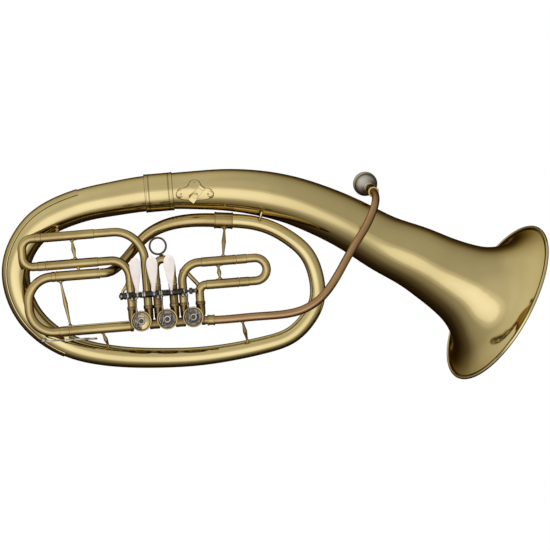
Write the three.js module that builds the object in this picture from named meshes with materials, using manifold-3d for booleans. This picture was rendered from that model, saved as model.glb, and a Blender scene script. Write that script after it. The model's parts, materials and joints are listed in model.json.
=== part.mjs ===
// An oval tenor horn of the tuba family, with three rotary valves worked by paddle levers.
// Millimetres, +Z up. The origin is the centre of the thumb ring, in the plane of the valves.
// The oval lies in a plane behind the valves, and "depth" is how far a point stands in front of
// that plane, towards -Y, which is the side the valve linkage is on.
import * as THREE from "three";
import { mergeVertices } from "three/addons/utils/BufferGeometryUtils.js";
import Module from "manifold-3d";

const wasm = await Module();
wasm.setup();

// ---- Driving dimensions ----

const GAP = 0.3;
const WALL = 0.8;
const OVAL_Y = 30;
const VALVE_DEPTH = 30;

const MACHINE_X = 14.2;
const MACHINE_Z = -107;
const MACHINE_TILT = THREE.MathUtils.degToRad(4.6);
const VALVE_PITCH = 38.15;

const ROTOR_RADIUS = 12;
const ROTOR_HALF = 11.5;
const STEM_RADIUS = 3.4;
const CASING_BORE = 12.4;
const CASING_RADIUS = 14;
const CASING_HALF = 13;
const CAP_RADIUS = 15.4;
const MAIN_DROP = 6;
const LOOP_OFFSET = 12;
const PORT_REACH = 14.6;
const LOOP_REACH = 20.5;
const PORT_BORE = 5.4;
const PORT_RADIUS = 6.5;

const TUBE_RADIUS = 6.4;
const SLEEVE_RADIUS = 7;
const SLIDE_LEG_RADIUS = 5.7;
const TUNING_RADIUS = 7;
const TUNING_SLEEVE_RADIUS = 7.6;
const TUNING_LEG_RADIUS = 6.4;

const HINGE_Y = -17;
const HINGE_Z = 38.4;
const HINGE_ROD_RADIUS = 2;
const BARREL_RADIUS = 5;
const PADDLE_LEAN = THREE.MathUtils.degToRad(26);
const PADDLE_LENGTH = 61;
const LEVER_SWING = THREE.MathUtils.degToRad(27);
const CRANK = 8;
const LEVER_TAIL = (CRANK * Math.SQRT2) / (2 * Math.sin(LEVER_SWING / 2));

const BELL_RIM_RADIUS = 125;
const BELL_TURN = THREE.MathUtils.degToRad(38);

// ---- Finishes ----

const metal = (color, roughness) => new THREE.MeshStandardMaterial({ color, roughness, metalness: 1 });
const BRASS = metal(0xc9a55a, 0.18);
const ROSE_BRASS = metal(0xc98f6a, 0.2);
const SILVER = metal(0xcfcac4, 0.22);
const GUNMETAL = metal(0x3a3835, 0.35);
const BRONZE = metal(0x5b4528, 0.3);
const PADDLE_WHITE = new THREE.MeshStandardMaterial({ color: 0xe6dcda, roughness: 0.4, metalness: 0.2 });

const horn = new THREE.Group();
const machine = new THREE.Group();
machine.position.set(MACHINE_X, 0, MACHINE_Z);
machine.rotation.y = -MACHINE_TILT;
horn.add(machine);

function addPart(parent, name, geometry, material) {
  const part = new THREE.Mesh(welded(geometry), material);
  part.name = name;
  parent.add(part);
  return part;
}

// ---- Solids ----

function signedVolume(positions, corners) {
  const [a, b, c] = [new THREE.Vector3(), new THREE.Vector3(), new THREE.Vector3()];
  let volume = 0;
  for (let i = 0; i < corners.length; i += 3) {
    a.fromBufferAttribute(positions, corners[i]);
    b.fromBufferAttribute(positions, corners[i + 1]);
    c.fromBufferAttribute(positions, corners[i + 2]);
    volume += a.dot(b.cross(c)) / 6;
  }
  return volume;
}

// Shares the corners of a closed geometry, drops triangles without area and turns its faces outwards.
function welded(geometry) {
  const bare = geometry.clone();
  for (const attribute of ["normal", "uv"]) {
    bare.deleteAttribute(attribute);
  }
  const merged = mergeVertices(bare, 1e-4);
  const corners = merged.index.array;
  const kept = [];
  for (let i = 0; i < corners.length; i += 3) {
    const [a, b, c] = [corners[i], corners[i + 1], corners[i + 2]];
    if (a !== b && b !== c && c !== a) {
      kept.push(a, b, c);
    }
  }
  if (signedVolume(merged.attributes.position, kept) < 0) {
    kept.reverse();
  }
  merged.setIndex(kept);
  return merged;
}

function toSolid(geometry) {
  const closed = welded(geometry);
  return new wasm.Manifold(
    new wasm.Mesh({
      numProp: 3,
      vertProperties: new Float32Array(closed.attributes.position.array),
      triVerts: new Uint32Array(closed.index.array),
    }),
  );
}

function toGeometry(solid) {
  const mesh = solid.getMesh();
  const geometry = new THREE.BufferGeometry();
  geometry.setAttribute("position", new THREE.BufferAttribute(new Float32Array(mesh.vertProperties), 3));
  geometry.setIndex(new THREE.BufferAttribute(new Uint32Array(mesh.triVerts), 1));
  return geometry;
}

function join(...geometries) {
  return geometries.map(toSolid).reduce((whole, next) => whole.add(next));
}

function cut(solid, ...geometries) {
  return geometries.map(toSolid).reduce((rest, next) => rest.subtract(next), solid);
}

// A turned piece about the Y axis, from [radius, y] corners that start and end on the axis.
function turned(profile, sides = 20) {
  return new THREE.LatheGeometry(profile.map(([r, y]) => new THREE.Vector2(r, y)), sides);
}

// A turned piece with a hole through it: the same corners, closed on themselves.
function turnedRing(profile, sides = 20) {
  return turned([...profile, profile[0]], sides);
}

function rodAlongX(radius, fromX, toX, y, z, sides = 12) {
  const rod = new THREE.CylinderGeometry(radius, radius, toX - fromX, sides);
  return rod.rotateZ(-Math.PI / 2).translate((fromX + toX) / 2, y, z);
}

function rodAlongY(radius, fromY, toY, x, z, sides = 12) {
  const rod = new THREE.CylinderGeometry(radius, radius, toY - fromY, sides);
  return rod.translate(x, (fromY + toY) / 2, z);
}

function rodAlongZ(radius, fromZ, toZ, x, y, sides = 12) {
  const rod = new THREE.CylinderGeometry(radius, radius, toZ - fromZ, sides);
  return rod.rotateX(Math.PI / 2).translate(x, y, (fromZ + toZ) / 2);
}

function block(fromX, toX, fromY, toY, fromZ, toZ) {
  const box = new THREE.BoxGeometry(toX - fromX, toY - fromY, toZ - fromZ);
  return box.translate((fromX + toX) / 2, (fromY + toY) / 2, (fromZ + toZ) / 2);
}

// ---- Bent tubes ----

// A route is a list of stops: where the centre line is, which way it runs, how far along it is.
function measured(stops) {
  let distance = 0;
  stops.forEach((stop, i) => {
    distance += i ? stop.point.distanceTo(stops[i - 1].point) : 0;
    stop.distance = distance;
  });
  return stops;
}

// Straight runs joined by round bends. Each corner after the first has its own bend radius.
function bentRoute(corners, stepAngle = THREE.MathUtils.degToRad(30)) {
  const stops = [];
  corners.forEach(({ point, bend }, i) => {
    const before = i ? point.clone().sub(corners[i - 1].point).normalize() : null;
    const after = i < corners.length - 1 ? corners[i + 1].point.clone().sub(point).normalize() : null;
    if (!before || !after) {
      stops.push({ point: point.clone(), tangent: (after ?? before).clone() });
      return;
    }
    const turn = before.angleTo(after);
    const reach = bend * Math.tan(turn / 2);
    const inward = after.clone().addScaledVector(before, -after.dot(before)).normalize();
    const centre = point.clone().addScaledVector(before, -reach).addScaledVector(inward, bend);
    const steps = Math.ceil(turn / stepAngle);
    for (let step = 0; step <= steps; step++) {
      const angle = (turn * step) / steps;
      const [cos, sin] = [Math.cos(angle), Math.sin(angle)];
      const tangent = before.clone().multiplyScalar(cos).addScaledVector(inward, sin);
      const outward = inward.clone().multiplyScalar(-cos).addScaledVector(before, sin);
      stops.push({ point: centre.clone().addScaledVector(outward, bend), tangent });
    }
  });
  return measured(stops);
}

// A flowing route through stations [x, z, depth, outer radius], with a smooth change of radius.
function flowingRoute(stations, stepsBetween = 1) {
  const points = stations.map(([x, z, depth]) => new THREE.Vector3(x, OVAL_Y - depth, z));
  const line = new THREE.CatmullRomCurve3(points, false, "centripetal");
  const swell = new THREE.SplineCurve(stations.map(([, , , radius], i) => new THREE.Vector2(i, radius)));
  const steps = (stations.length - 1) * stepsBetween;
  const stops = [];
  for (let step = 0; step <= steps; step++) {
    const along = step / steps;
    stops.push({
      point: line.getPoint(along),
      tangent: line.getTangent(along),
      radius: swell.getPoint(along).y,
    });
  }
  return measured(stops);
}

// Adds a stop at each change of a stepped profile, [distance, outer radius] pairs along the route.
// A negative distance counts back from the end.
function withProfile(route, profile) {
  const total = route.at(-1).distance;
  const steps = profile.map(([distance, radius]) => [distance < 0 ? total + distance : distance, radius]);
  const radiusAt = (distance) => {
    const next = steps.findIndex(([end]) => end >= distance - 1e-6);
    const [fromDistance, fromRadius] = steps[Math.max(next - 1, 0)];
    const [toDistance, toRadius] = steps[next < 0 ? steps.length - 1 : next];
    const share = toDistance > fromDistance ? (distance - fromDistance) / (toDistance - fromDistance) : 1;
    return THREE.MathUtils.lerp(fromRadius, toRadius, Math.min(Math.max(share, 0), 1));
  };
  const extra = steps
    .filter(([distance]) => route.every((stop) => Math.abs(stop.distance - distance) > 1e-3))
    .map(([distance]) => {
      const next = route.findIndex((stop) => stop.distance > distance);
      const [from, to] = [route[next - 1], route[next]];
      const share = (distance - from.distance) / (to.distance - from.distance);
      return { point: from.point.clone().lerp(to.point, share), tangent: from.tangent.clone(), distance };
    });
  const all = [...route, ...extra].sort((a, b) => a.distance - b.distance);
  return all.map((stop) => ({ ...stop, radius: radiusAt(stop.distance) }));
}

// Sections across a route keep their turn about it as small as they can.
function sections(route, firstSide) {
  const side = firstSide.clone();
  return route.map((stop) => {
    const along = stop.tangent.clone().normalize();
    side.addScaledVector(along, -side.dot(along)).normalize();
    return { ...stop, side: side.clone(), other: along.clone().cross(side) };
  });
}

// A hollow tube along a route, or a strip of its wall between two angles about the route.
function tubeWall(route, { sides = 10, wall = WALL, lift = 0, fromAngle = 0, toAngle = 2 * Math.PI } = {}) {
  const whole = toAngle - fromAngle > 2 * Math.PI - 1e-6;
  const columns = whole ? sides : sides + 1;
  const across = sections(route, new THREE.Vector3(-route[0].tangent.z, 0.02, route[0].tangent.x));
  const positions = [];
  for (const { point, radius, side, other } of across) {
    for (const r of [radius + lift, radius + lift - wall]) {
      for (let column = 0; column < columns; column++) {
        const angle = fromAngle + ((toAngle - fromAngle) * column) / sides;
        const corner = point.clone().addScaledVector(side, r * Math.cos(angle));
        corner.addScaledVector(other, r * Math.sin(angle));
        positions.push(corner.x, corner.y, corner.z);
      }
    }
  }
  const corner = (stop, inner, column) => (stop * 2 + inner) * columns + (column % columns);
  const triangles = [];
  const quad = (a, b, c, d) => triangles.push(a, b, c, a, c, d);
  const last = route.length - 1;
  for (let column = 0; column < sides; column++) {
    const next = column + 1;
    for (let stop = 0; stop < last; stop++) {
      const ahead = stop + 1;
      quad(corner(stop, 0, column), corner(stop, 0, next), corner(ahead, 0, next), corner(ahead, 0, column));
      quad(corner(stop, 1, next), corner(stop, 1, column), corner(ahead, 1, column), corner(ahead, 1, next));
    }
    quad(corner(0, 0, next), corner(0, 0, column), corner(0, 1, column), corner(0, 1, next));
    quad(corner(last, 0, column), corner(last, 0, next), corner(last, 1, next), corner(last, 1, column));
  }
  for (let stop = 0; stop < last && !whole; stop++) {
    const ahead = stop + 1;
    quad(corner(stop, 1, 0), corner(stop, 0, 0), corner(ahead, 0, 0), corner(ahead, 1, 0));
    quad(corner(stop, 0, sides), corner(stop, 1, sides), corner(ahead, 1, sides), corner(ahead, 0, sides));
  }
  const geometry = new THREE.BufferGeometry();
  geometry.setAttribute("position", new THREE.Float32BufferAttribute(positions, 3));
  geometry.setIndex(triangles);
  return geometry;
}

// The part of a route between two distances, with stops at both.
function stretch(route, from, to) {
  const at = (distance) => {
    const next = Math.max(1, route.findIndex((stop) => stop.distance >= distance));
    const [a, b] = [route[next - 1], route[next]];
    const share = (distance - a.distance) / (b.distance - a.distance);
    return {
      point: a.point.clone().lerp(b.point, share),
      tangent: a.tangent.clone().lerp(b.tangent, share).normalize(),
      radius: THREE.MathUtils.lerp(a.radius, b.radius, share),
      distance,
    };
  };
  const inside = route.filter((stop) => stop.distance > from + 1 && stop.distance < to - 1);
  return [at(from), ...inside, at(to)];
}

// ---- The wide conical tubing: main bow and bell ----

// The oval bow runs from its small end, at the right, under the valves and round to the bell.
const bowRoute = flowingRoute([
  [97, 37.4, 0, 10.4], [126, 36, 0, 10.4], [162, 28, 0, 10.6], [195, 10, 0, 11],
  [217, -10, 0, 11.2], [232, -45, 0, 11.3], [233, -80, 0, 11.5], [219, -108, 0, 12],
  [195, -131, 0, 12.3], [160, -144, 0, 12.7], [109, -155, 0, 13.1], [56, -162, 0, 13.8],
  [3, -164, 0, 14.6], [-49, -162.6, 0, 15.3], [-90, -157.5, 0, 16.1], [-128, -147, 0, 16.8],
  [-160, -129, 0, 17.6], [-187, -102, 0, 18.6], [-204, -66, 0, 19.6], [-207, -30, 0, 20.4],
  [-196, 2, 0, 21.2], [-172, 31, 0, 22.6], [-137, 50.5, 0, 23.8], [-102, 62, 0, 24.4],
  [-67, 69, 0, 25.2], [-32, 75, 0, 26], [2, 79, 0, 26.4],
]);
addPart(horn, "main_bow", tubeWall(bowRoute, { sides: 12 }), BRASS);

// The bell piece lies in a plane turned about the line of its ferrule, so its mouth goes back.
const BELL_START = { x: 4, z: 79.2 };
const BELL_LINE_RISE = THREE.MathUtils.degToRad(3.3);
function bellDepth(x, z) {
  const [alongX, alongZ] = [x - BELL_START.x, z - BELL_START.z];
  const drop = alongX * Math.sin(BELL_LINE_RISE) - alongZ * Math.cos(BELL_LINE_RISE);
  return -Math.max(drop, 0) * Math.tan(BELL_TURN);
}
const RIM_CENTRE = { x: 500.4, z: -83.2 };
const BELL_AXIS_DROP = THREE.MathUtils.degToRad(28.6);
const FORESHORTENING = Math.cos(THREE.MathUtils.degToRad(22.5));
const flare = [
  [148, 47.2], [112, 51.4], [82, 56.6], [60, 62.6], [45, 69.4], [32, 78], [20, 88.6],
  [10, 101.6], [4, 113], [0, BELL_RIM_RADIUS],
].map(([back, radius]) => {
  const x = RIM_CENTRE.x - back * FORESHORTENING * Math.cos(BELL_AXIS_DROP);
  const z = RIM_CENTRE.z + back * FORESHORTENING * Math.sin(BELL_AXIS_DROP);
  return [x, z, bellDepth(x, z), radius];
});
const branch = [
  [4, 79.2, 26.4], [28, 81, 26.9], [56, 82, 28.3], [91, 82.6, 30.2], [126, 80.6, 32], [162, 75.4, 33.7],
  [197, 67, 35], [232, 54.6, 36.4], [267, 39.4, 37.8], [300, 22, 39.4], [333, 3.5, 42],
].map(([x, z, radius]) => [x, z, bellDepth(x, z), radius]);
const bellRoute = flowingRoute([...branch, ...flare]);
bellRoute.at(-1).tangent.copy(bellRoute.at(-1).point).sub(bellRoute.at(-2).point).normalize();
addPart(horn, "bell", tubeWall(bellRoute, { sides: 18, wall: 1.2 }), BRASS);

// A ferrule is a sleeve soldered over a joint, with a pair of beads near each end.
function ferrule(route, from, to, clearance, thickness, sides) {
  const covered = stretch(route, from, to);
  return tubeWall(covered, { sides, wall: thickness, lift: clearance + thickness });
}
const bowLength = bowRoute.at(-1).distance;
addPart(
  horn,
  "bell_ferrule",
  tubeWall(
    bentRoute([
      { point: new THREE.Vector3(-19, OVAL_Y, 76.8) },
      { point: new THREE.Vector3(22, OVAL_Y - 0.2, 80.4) },
    ]).map((stop) => ({ ...stop, radius: 28 })),
    { sides: 32, wall: 0.7 },
  ),
  BRASS,
);
addPart(horn, "bow_guard", tubeWall(
  stretch(bowRoute, bowLength * 0.6, bowLength * 0.885),
  { sides: 6, wall: 0.8, lift: 1.2, fromAngle: -Math.PI * 0.26, toAngle: Math.PI * 0.26 },
), BRASS);

// ---- The narrow tubing, which lies in the tilted frame of the valves ----

const at = (x, z, y = 0) => new THREE.Vector3(x, y, z);
const bowPoint = (x, z) => at(x, z, OVAL_Y);
const VALVE_X = { third: -VALVE_PITCH, second: 0, first: VALVE_PITCH };
const LOOP_START = LOOP_REACH + GAP;
const MAIN_Z = -MAIN_DROP;
const THIRD_UPPER_Z = 133.2;
const THIRD_LOWER_Z = 91.8;
const TUNING_UPPER_Z = 74.9;
const FIRST_UPPER_Z = 79;
const FIRST_LOWER_Z = 45.5;

// A neck rises from a valve's loop port, turns, and widens into the sleeve that holds a slide leg.
function neckAndSleeve(portX, legZ, bend, sleeveFromX, sleeveToX) {
  const route = bentRoute([
    { point: at(portX, LOOP_START) },
    { point: at(portX, legZ), bend },
    { point: at(sleeveToX, legZ) },
  ]);
  const sleeveLength = Math.abs(sleeveToX - sleeveFromX);
  return tubeWall(
    withProfile(route, [
      [0, TUBE_RADIUS], [-sleeveLength - 0.5, TUBE_RADIUS],
      [-sleeveLength, SLEEVE_RADIUS], [-0.01, SLEEVE_RADIUS],
    ]),
    { wall: 0.8 },
  );
}

// A slide is a U-shaped bow with a ferrule on each leg and thinner inner legs that enter the sleeves.
function slide(corners, radius, ferruleRadius, legRadius, legLengths, ferruleLengths) {
  const route = bentRoute(corners);
  const [startLeg, endLeg] = legLengths;
  const [startFerrule, endFerrule] = ferruleLengths;
  return tubeWall(
    withProfile(route, [
      [0, legRadius], [startLeg, legRadius], [startLeg + 0.3, ferruleRadius],
      [startLeg + startFerrule, ferruleRadius], [startLeg + startFerrule + 0.4, radius],
      [-endLeg - endFerrule - 0.4, radius], [-endLeg - endFerrule, ferruleRadius],
      [-endLeg - 0.3, ferruleRadius], [-endLeg, legRadius], [-0.01, legRadius],
    ]),
    { wall: 0.7 },
  );
}

// Each sleeve: the valve and side of its port, its height, the bend below it, and where it starts and ends.
const SLEEVES = {
  third_slide_upper_sleeve: ["third", 1, THIRD_UPPER_Z, 44, -97.9, -175.4],
  third_slide_lower_sleeve: ["third", -1, THIRD_LOWER_Z, 26, -95.1, -171.5],
  first_slide_upper_sleeve: ["first", -1, FIRST_UPPER_Z, 26, 56.8, 107.1],
  first_slide_lower_sleeve: ["first", 1, FIRST_LOWER_Z, 10, 61.5, 109.4],
};
for (const [name, [valve, side, legZ, bend, fromX, toX]] of Object.entries(SLEEVES)) {
  addPart(machine, name, neckAndSleeve(VALVE_X[valve] + side * LOOP_OFFSET, legZ, bend, fromX, toX), BRASS);
}
const THIRD_CROOK_X = -204.6;
addPart(machine, "third_valve_slide", slide(
  [
    { point: at(-118, THIRD_UPPER_Z) },
    { point: at(THIRD_CROOK_X, THIRD_UPPER_Z), bend: 15.5 },
    { point: at(THIRD_CROOK_X, THIRD_LOWER_Z), bend: 15.5 },
    { point: at(-118, THIRD_LOWER_Z) },
  ],
  TUBE_RADIUS, SLEEVE_RADIUS, SLIDE_LEG_RADIUS,
  [175.7 - 118, 171.8 - 118], [8, 11],
), BRASS);

const FIRST_CROOK_X = 150.7;
const FIRST_BEND = (FIRST_UPPER_Z - FIRST_LOWER_Z) / 2;
addPart(machine, "first_valve_slide", slide(
  [
    { point: at(70, FIRST_UPPER_Z) },
    { point: at(FIRST_CROOK_X, FIRST_UPPER_Z), bend: FIRST_BEND },
    { point: at(FIRST_CROOK_X, FIRST_LOWER_Z), bend: FIRST_BEND },
    { point: at(70, FIRST_LOWER_Z) },
  ],
  TUBE_RADIUS, SLEEVE_RADIUS, SLIDE_LEG_RADIUS,
  [107.4 - 70, 109.7 - 70], [14.8, 13.6],
), BRASS);

const SECOND_TOP_Z = 87.7;
const SECOND_SLEEVE_TOP = 52;
const SECOND_RADIUS = 5.8;
for (const [side, x] of [["left", -LOOP_OFFSET], ["right", LOOP_OFFSET]]) {
  const straight = bentRoute([{ point: at(x, LOOP_START) }, { point: at(x, SECOND_SLEEVE_TOP) }]);
  addPart(
    machine,
    `second_slide_${side}_sleeve`,
    tubeWall(straight.map((stop) => ({ ...stop, radius: TUBE_RADIUS })), { wall: 0.7 }),
    BRASS,
  );
}
const SECOND_LEG_BOTTOM = 27;
addPart(machine, "second_valve_slide", slide(
  [
    { point: at(-LOOP_OFFSET, SECOND_LEG_BOTTOM) },
    { point: at(-LOOP_OFFSET, SECOND_TOP_Z), bend: LOOP_OFFSET - 0.01 },
    { point: at(LOOP_OFFSET, SECOND_TOP_Z), bend: LOOP_OFFSET - 0.01 },
    { point: at(LOOP_OFFSET, SECOND_LEG_BOTTOM) },
  ],
  SECOND_RADIUS, TUBE_RADIUS, SECOND_RADIUS - 0.6,
  [SECOND_SLEEVE_TOP + GAP - SECOND_LEG_BOTTOM, SECOND_SLEEVE_TOP + GAP - SECOND_LEG_BOTTOM], [8, 8],
), BRASS);

// The tuning slide links the third valve's main port to the tapering branch behind the loops.
const TUNING_CROOK_X = -200.6;
const TUNING_UPPER_END = -93.3;
const constant = (route, radius) => route.map((stop) => ({ ...stop, radius }));
addPart(machine, "tuning_slide_upper_sleeve", tubeWall(
  constant(
    bentRoute([{ point: at(-157.9, TUNING_UPPER_Z) }, { point: at(TUNING_UPPER_END, TUNING_UPPER_Z) }]),
    TUNING_SLEEVE_RADIUS,
  ),
), BRASS);
addPart(machine, "tuning_slide_lower_sleeve", tubeWall(
  constant(
    bentRoute([{ point: at(-144.7, MAIN_Z) }, { point: at(VALVE_X.third - PORT_REACH - GAP, MAIN_Z) }]),
    TUNING_SLEEVE_RADIUS - 0.2,
  ),
), BRASS);
addPart(machine, "main_tuning_slide", slide(
  [
    { point: at(-100, TUNING_UPPER_Z) },
    { point: at(TUNING_CROOK_X, TUNING_UPPER_Z), bend: 36 },
    { point: at(TUNING_CROOK_X, MAIN_Z), bend: 36 },
    { point: at(-96, MAIN_Z) },
  ],
  TUNING_RADIUS, TUNING_SLEEVE_RADIUS, TUNING_LEG_RADIUS - 0.3,
  [158.2 - 100, 145 - 96], [6.2, 13],
), BRASS);
const VALVE_LINKS = { valve_link_3_2: ["third", "second"], valve_link_2_1: ["second", "first"] };
for (const [name, [from, to]] of Object.entries(VALVE_LINKS)) {
  const link = bentRoute([
    { point: at(VALVE_X[from] + PORT_REACH + GAP, MAIN_Z) },
    { point: at(VALVE_X[to] - PORT_REACH - GAP, MAIN_Z) },
  ]);
  addPart(machine, name, tubeWall(constant(link, PORT_RADIUS + 0.4)), BRASS);
}

// The same place in the upright frame of the oval.
function upright(x, z) {
  const cos = Math.cos(MACHINE_TILT);
  const sin = Math.sin(MACHINE_TILT);
  return [MACHINE_X + x * cos - z * sin, MACHINE_Z + x * sin + z * cos];
}
const innerRoute = flowingRoute([
  [...upright(TUNING_UPPER_END + 2 * GAP, TUNING_UPPER_Z), VALVE_DEPTH, 6.9],
  [...upright(TUNING_UPPER_END + 8, TUNING_UPPER_Z), VALVE_DEPTH, 6.9],
  [-66, -35.6, 22, 7], [-53, -24.6, 11, 7.2], [-37.6, -7.3, 4, 7.6], [-18.6, 13.6, 1, 8.3],
  [3.4, 27.2, 0, 9], [21, 33.2, 0, 9.4], [38.5, 36.4, 0, 9.7], [58, 38, 0, 10], [78, 38, 0, 10.2],
  [96.4, 37.4, 0, 10.3],
]);
addPart(horn, "inner_branch", tubeWall(innerRoute), BRASS);
addPart(horn, "branch_ferrule", tubeWall(
  constant(bentRoute([{ point: bowPoint(82.5, 38) }, { point: bowPoint(110, 37) }]), 11.8),
  { sides: 16, wall: 0.8 },
), BRASS);

// The leadpipe crosses in front of the bow and the bell branch, then turns back over its top.
const [pipeX, pipeZ] = upright(VALVE_X.first + PORT_REACH + 2 * GAP, MAIN_Z);
const leadpipeRoute = flowingRoute([
  [pipeX, pipeZ, VALVE_DEPTH, 6.2], [88, -108.2, VALVE_DEPTH, 6.2], [144, -103.4, VALVE_DEPTH, 6.2],
  [180, -100.6, 30, 6.2], [209, -94.6, 29, 6.2], [237, -78, 27, 6.1], [258, -52, 22, 6.1], [275, -22, 15, 6],
  [290, 4, 6, 6], [303, 25, -3, 6], [312.5, 44, -11, 5.9], [318.5, 61, -23, 5.8], [319.5, 72.5, -40, 5.7],
  [317, 79, -58, 5.6], [314.5, 82, -71, 5.5],
]);
addPart(horn, "leadpipe", tubeWall(leadpipeRoute, { sides: 10 }), ROSE_BRASS);
addPart(horn, "leadpipe_ferrule", ferrule(leadpipeRoute, 5, 16, 0.35, 0.9, 12), BRASS);
const leadLength = leadpipeRoute.at(-1).distance;
const receiverTip = leadpipeRoute.at(-1);
const shankDirection = new THREE.Vector3(-0.145, 0.955, 0.143).normalize();
const shankPoint = (distance) => receiverTip.point.clone().addScaledVector(shankDirection, distance);
const receiverRoute = [
  ...stretch(leadpipeRoute, leadLength - 12, leadLength).map(({ point, tangent }) => ({ point, tangent })),
  { point: shankPoint(14), tangent: shankDirection.clone() },
];
addPart(horn, "mouthpiece_receiver", tubeWall(constant(measured(receiverRoute), 7.6), { wall: 1.4 }), BRASS);

// The mouthpiece: shank, stem, round cup and rounded rim, turned about its own axis.
const mouthpieceSolid = turnedRing([
  [4.6, 2], [5.4, 24], [5.9, 30], [7.8, 33], [6.8, 36], [9.4, 41], [13.6, 47], [16, 54], [16.6, 62], [18, 65],
  [18, 68.2], [15.6, 70], [12.8, 69], [12, 60], [10, 52], [3, 45], [2.6, 30], [3.4, 2],
], 14);
const mouthpiece = addPart(horn, "mouthpiece", mouthpieceSolid, SILVER);
mouthpiece.position.copy(receiverTip.point);
mouthpiece.quaternion.setFromUnitVectors(new THREE.Vector3(0, 1, 0), shankDirection);

// ---- Rotary valves ----

function valveCasing() {
  const drum = (radius, half) => turned([[0, -half], [radius, -half], [radius, half], [0, half]], 20);
  const shell = join(
    drum(CASING_RADIUS, CASING_HALF),
    rodAlongX(PORT_RADIUS, -PORT_REACH, PORT_REACH, 0, MAIN_Z),
    rodAlongZ(PORT_RADIUS - 0.1, 2.4, LOOP_REACH, -LOOP_OFFSET, 0),
    rodAlongZ(PORT_RADIUS - 0.1, 2.4, LOOP_REACH, LOOP_OFFSET, 0),
  );
  return toGeometry(cut(
    shell,
    drum(CASING_BORE, CASING_HALF + 1),
    rodAlongX(PORT_BORE, -PORT_REACH - 1, PORT_REACH + 1, 0, MAIN_Z),
    rodAlongZ(PORT_BORE, 3, LOOP_REACH + 1, -LOOP_OFFSET, 0),
    rodAlongZ(PORT_BORE, 3, LOOP_REACH + 1, LOOP_OFFSET, 0),
  ));
}

// The rotor is a plug with two passages, which join neighbouring ports, and a stem at each end.
function valveRotor() {
  const passage = (z) => rodAlongX(4.8, -ROTOR_RADIUS - 1, ROTOR_RADIUS + 1, 0, z);
  const plug = turned([
    [0, -19.6], [STEM_RADIUS, -19.6], [STEM_RADIUS, -ROTOR_HALF], [ROTOR_RADIUS, -ROTOR_HALF],
    [ROTOR_RADIUS, ROTOR_HALF], [STEM_RADIUS, ROTOR_HALF], [STEM_RADIUS, 14.6], [0, 14.6],
  ], 20);
  return toGeometry(cut(toSolid(plug), passage(MAIN_Z), passage(MAIN_DROP)));
}

const frontPlate = () => turnedRing([
  [STEM_RADIUS + 0.5, -13.3], [CAP_RADIUS, -13.3], [CAP_RADIUS, -17.6],
  [13.4, -17.6], [13.2, -15.2], [STEM_RADIUS + 0.5, -15.2],
], 20);
const backCap = () => turned([
  [0, 15.6], [12.4, 15.6], [12.4, 13.3], [CAP_RADIUS, 13.3], [CAP_RADIUS, 17.6],
  [12, 18.8], [4.4, 19.2], [4, 20.6], [0, 20.8],
], 20);

// The stop arm clamps the stem. Its crank pin starts down to the left and swings up as the lever falls.
const CRANK_START = THREE.MathUtils.degToRad(225);
const crankPin = { x: CRANK * Math.cos(CRANK_START), z: CRANK * Math.sin(CRANK_START) };
function stopArm() {
  const hub = rodAlongY(5.4, -19.2, -15.8, 0, 0, 14);
  const reach = block(0, CRANK, -18.6, -16.2, -2.2, 2.2).rotateY(-CRANK_START);
  const eye = rodAlongY(2.8, -18.6, -16.2, crankPin.x, crankPin.z, 10);
  const pin = rodAlongY(1.1, -22.6, -17, crankPin.x, crankPin.z, 8);
  return toGeometry(cut(join(hub, reach, eye, pin), rodAlongY(STEM_RADIUS + GAP, -25, -15, 0, 0, 14)));
}

// The link's top eye rides beside the tail, on a pin long enough for the sideways swing of the crank.
const LINK_SIDE = 5.2;
const LINK_PIN_RADIUS = 0.9;
const LINK_EYE_BORE = 1.7;

// Each lever turns on the hinge rod: a barrel, a teardrop paddle above and a tail towards the front.
const LEVERS = {
  third: { neckX: -40.8, barrel: [-56, -32], tailX: -VALVE_PITCH + crankPin.x - LINK_SIDE },
  second: { neckX: -16.2, barrel: [-31.4, -7], tailX: crankPin.x - LINK_SIDE },
  first: { neckX: 9.2, barrel: [-6.4, 29], tailX: 26 },
};
const TAIL_START = -LEVER_SWING / 2;
const tailTip = {
  y: HINGE_Y - LEVER_TAIL * Math.cos(TAIL_START),
  z: HINGE_Z + LEVER_TAIL * Math.sin(TAIL_START),
};
function paddleOutline() {
  const outline = new THREE.Shape();
  outline.moveTo(-2.2, 2);
  outline.bezierCurveTo(-2.5, 14, -7.4, 30, -8.2, PADDLE_LENGTH - 15);
  outline.bezierCurveTo(-8.8, PADDLE_LENGTH - 7, -6, PADDLE_LENGTH, 0, PADDLE_LENGTH);
  outline.bezierCurveTo(6, PADDLE_LENGTH, 8.8, PADDLE_LENGTH - 7, 8.2, PADDLE_LENGTH - 15);
  outline.bezierCurveTo(7.4, 30, 2.5, 14, 2.2, 2);
  outline.closePath();
  return outline;
}
function lever({ neckX, barrel, tailX }) {
  const paddle = new THREE.ExtrudeGeometry(paddleOutline(), { depth: 2, bevelEnabled: false, curveSegments: 5 });
  paddle.translate(0, 0, -1).rotateX(Math.PI / 2).rotateX(PADDLE_LEAN).translate(neckX, HINGE_Y, HINGE_Z);
  const tail = block(-1.6, 1.6, -LEVER_TAIL, 0, -2, 2).rotateX(-TAIL_START).translate(tailX, HINGE_Y, HINGE_Z);
  const eye = rodAlongX(3.2, tailX - 1.6, tailX + 1.6, tailTip.y, tailTip.z, 10);
  const pin = rodAlongX(LINK_PIN_RADIUS, tailX, tailX + LINK_SIDE + 1.6, tailTip.y, tailTip.z, 8);
  const [low, high] = barrel;
  const body = join(rodAlongX(BARREL_RADIUS, low, high, HINGE_Y, HINGE_Z, 14), paddle, tail, eye, pin);
  return toGeometry(cut(body, rodAlongX(HINGE_ROD_RADIUS + GAP, low - 1, high + 1, HINGE_Y, HINGE_Z, 12)));
}

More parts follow.
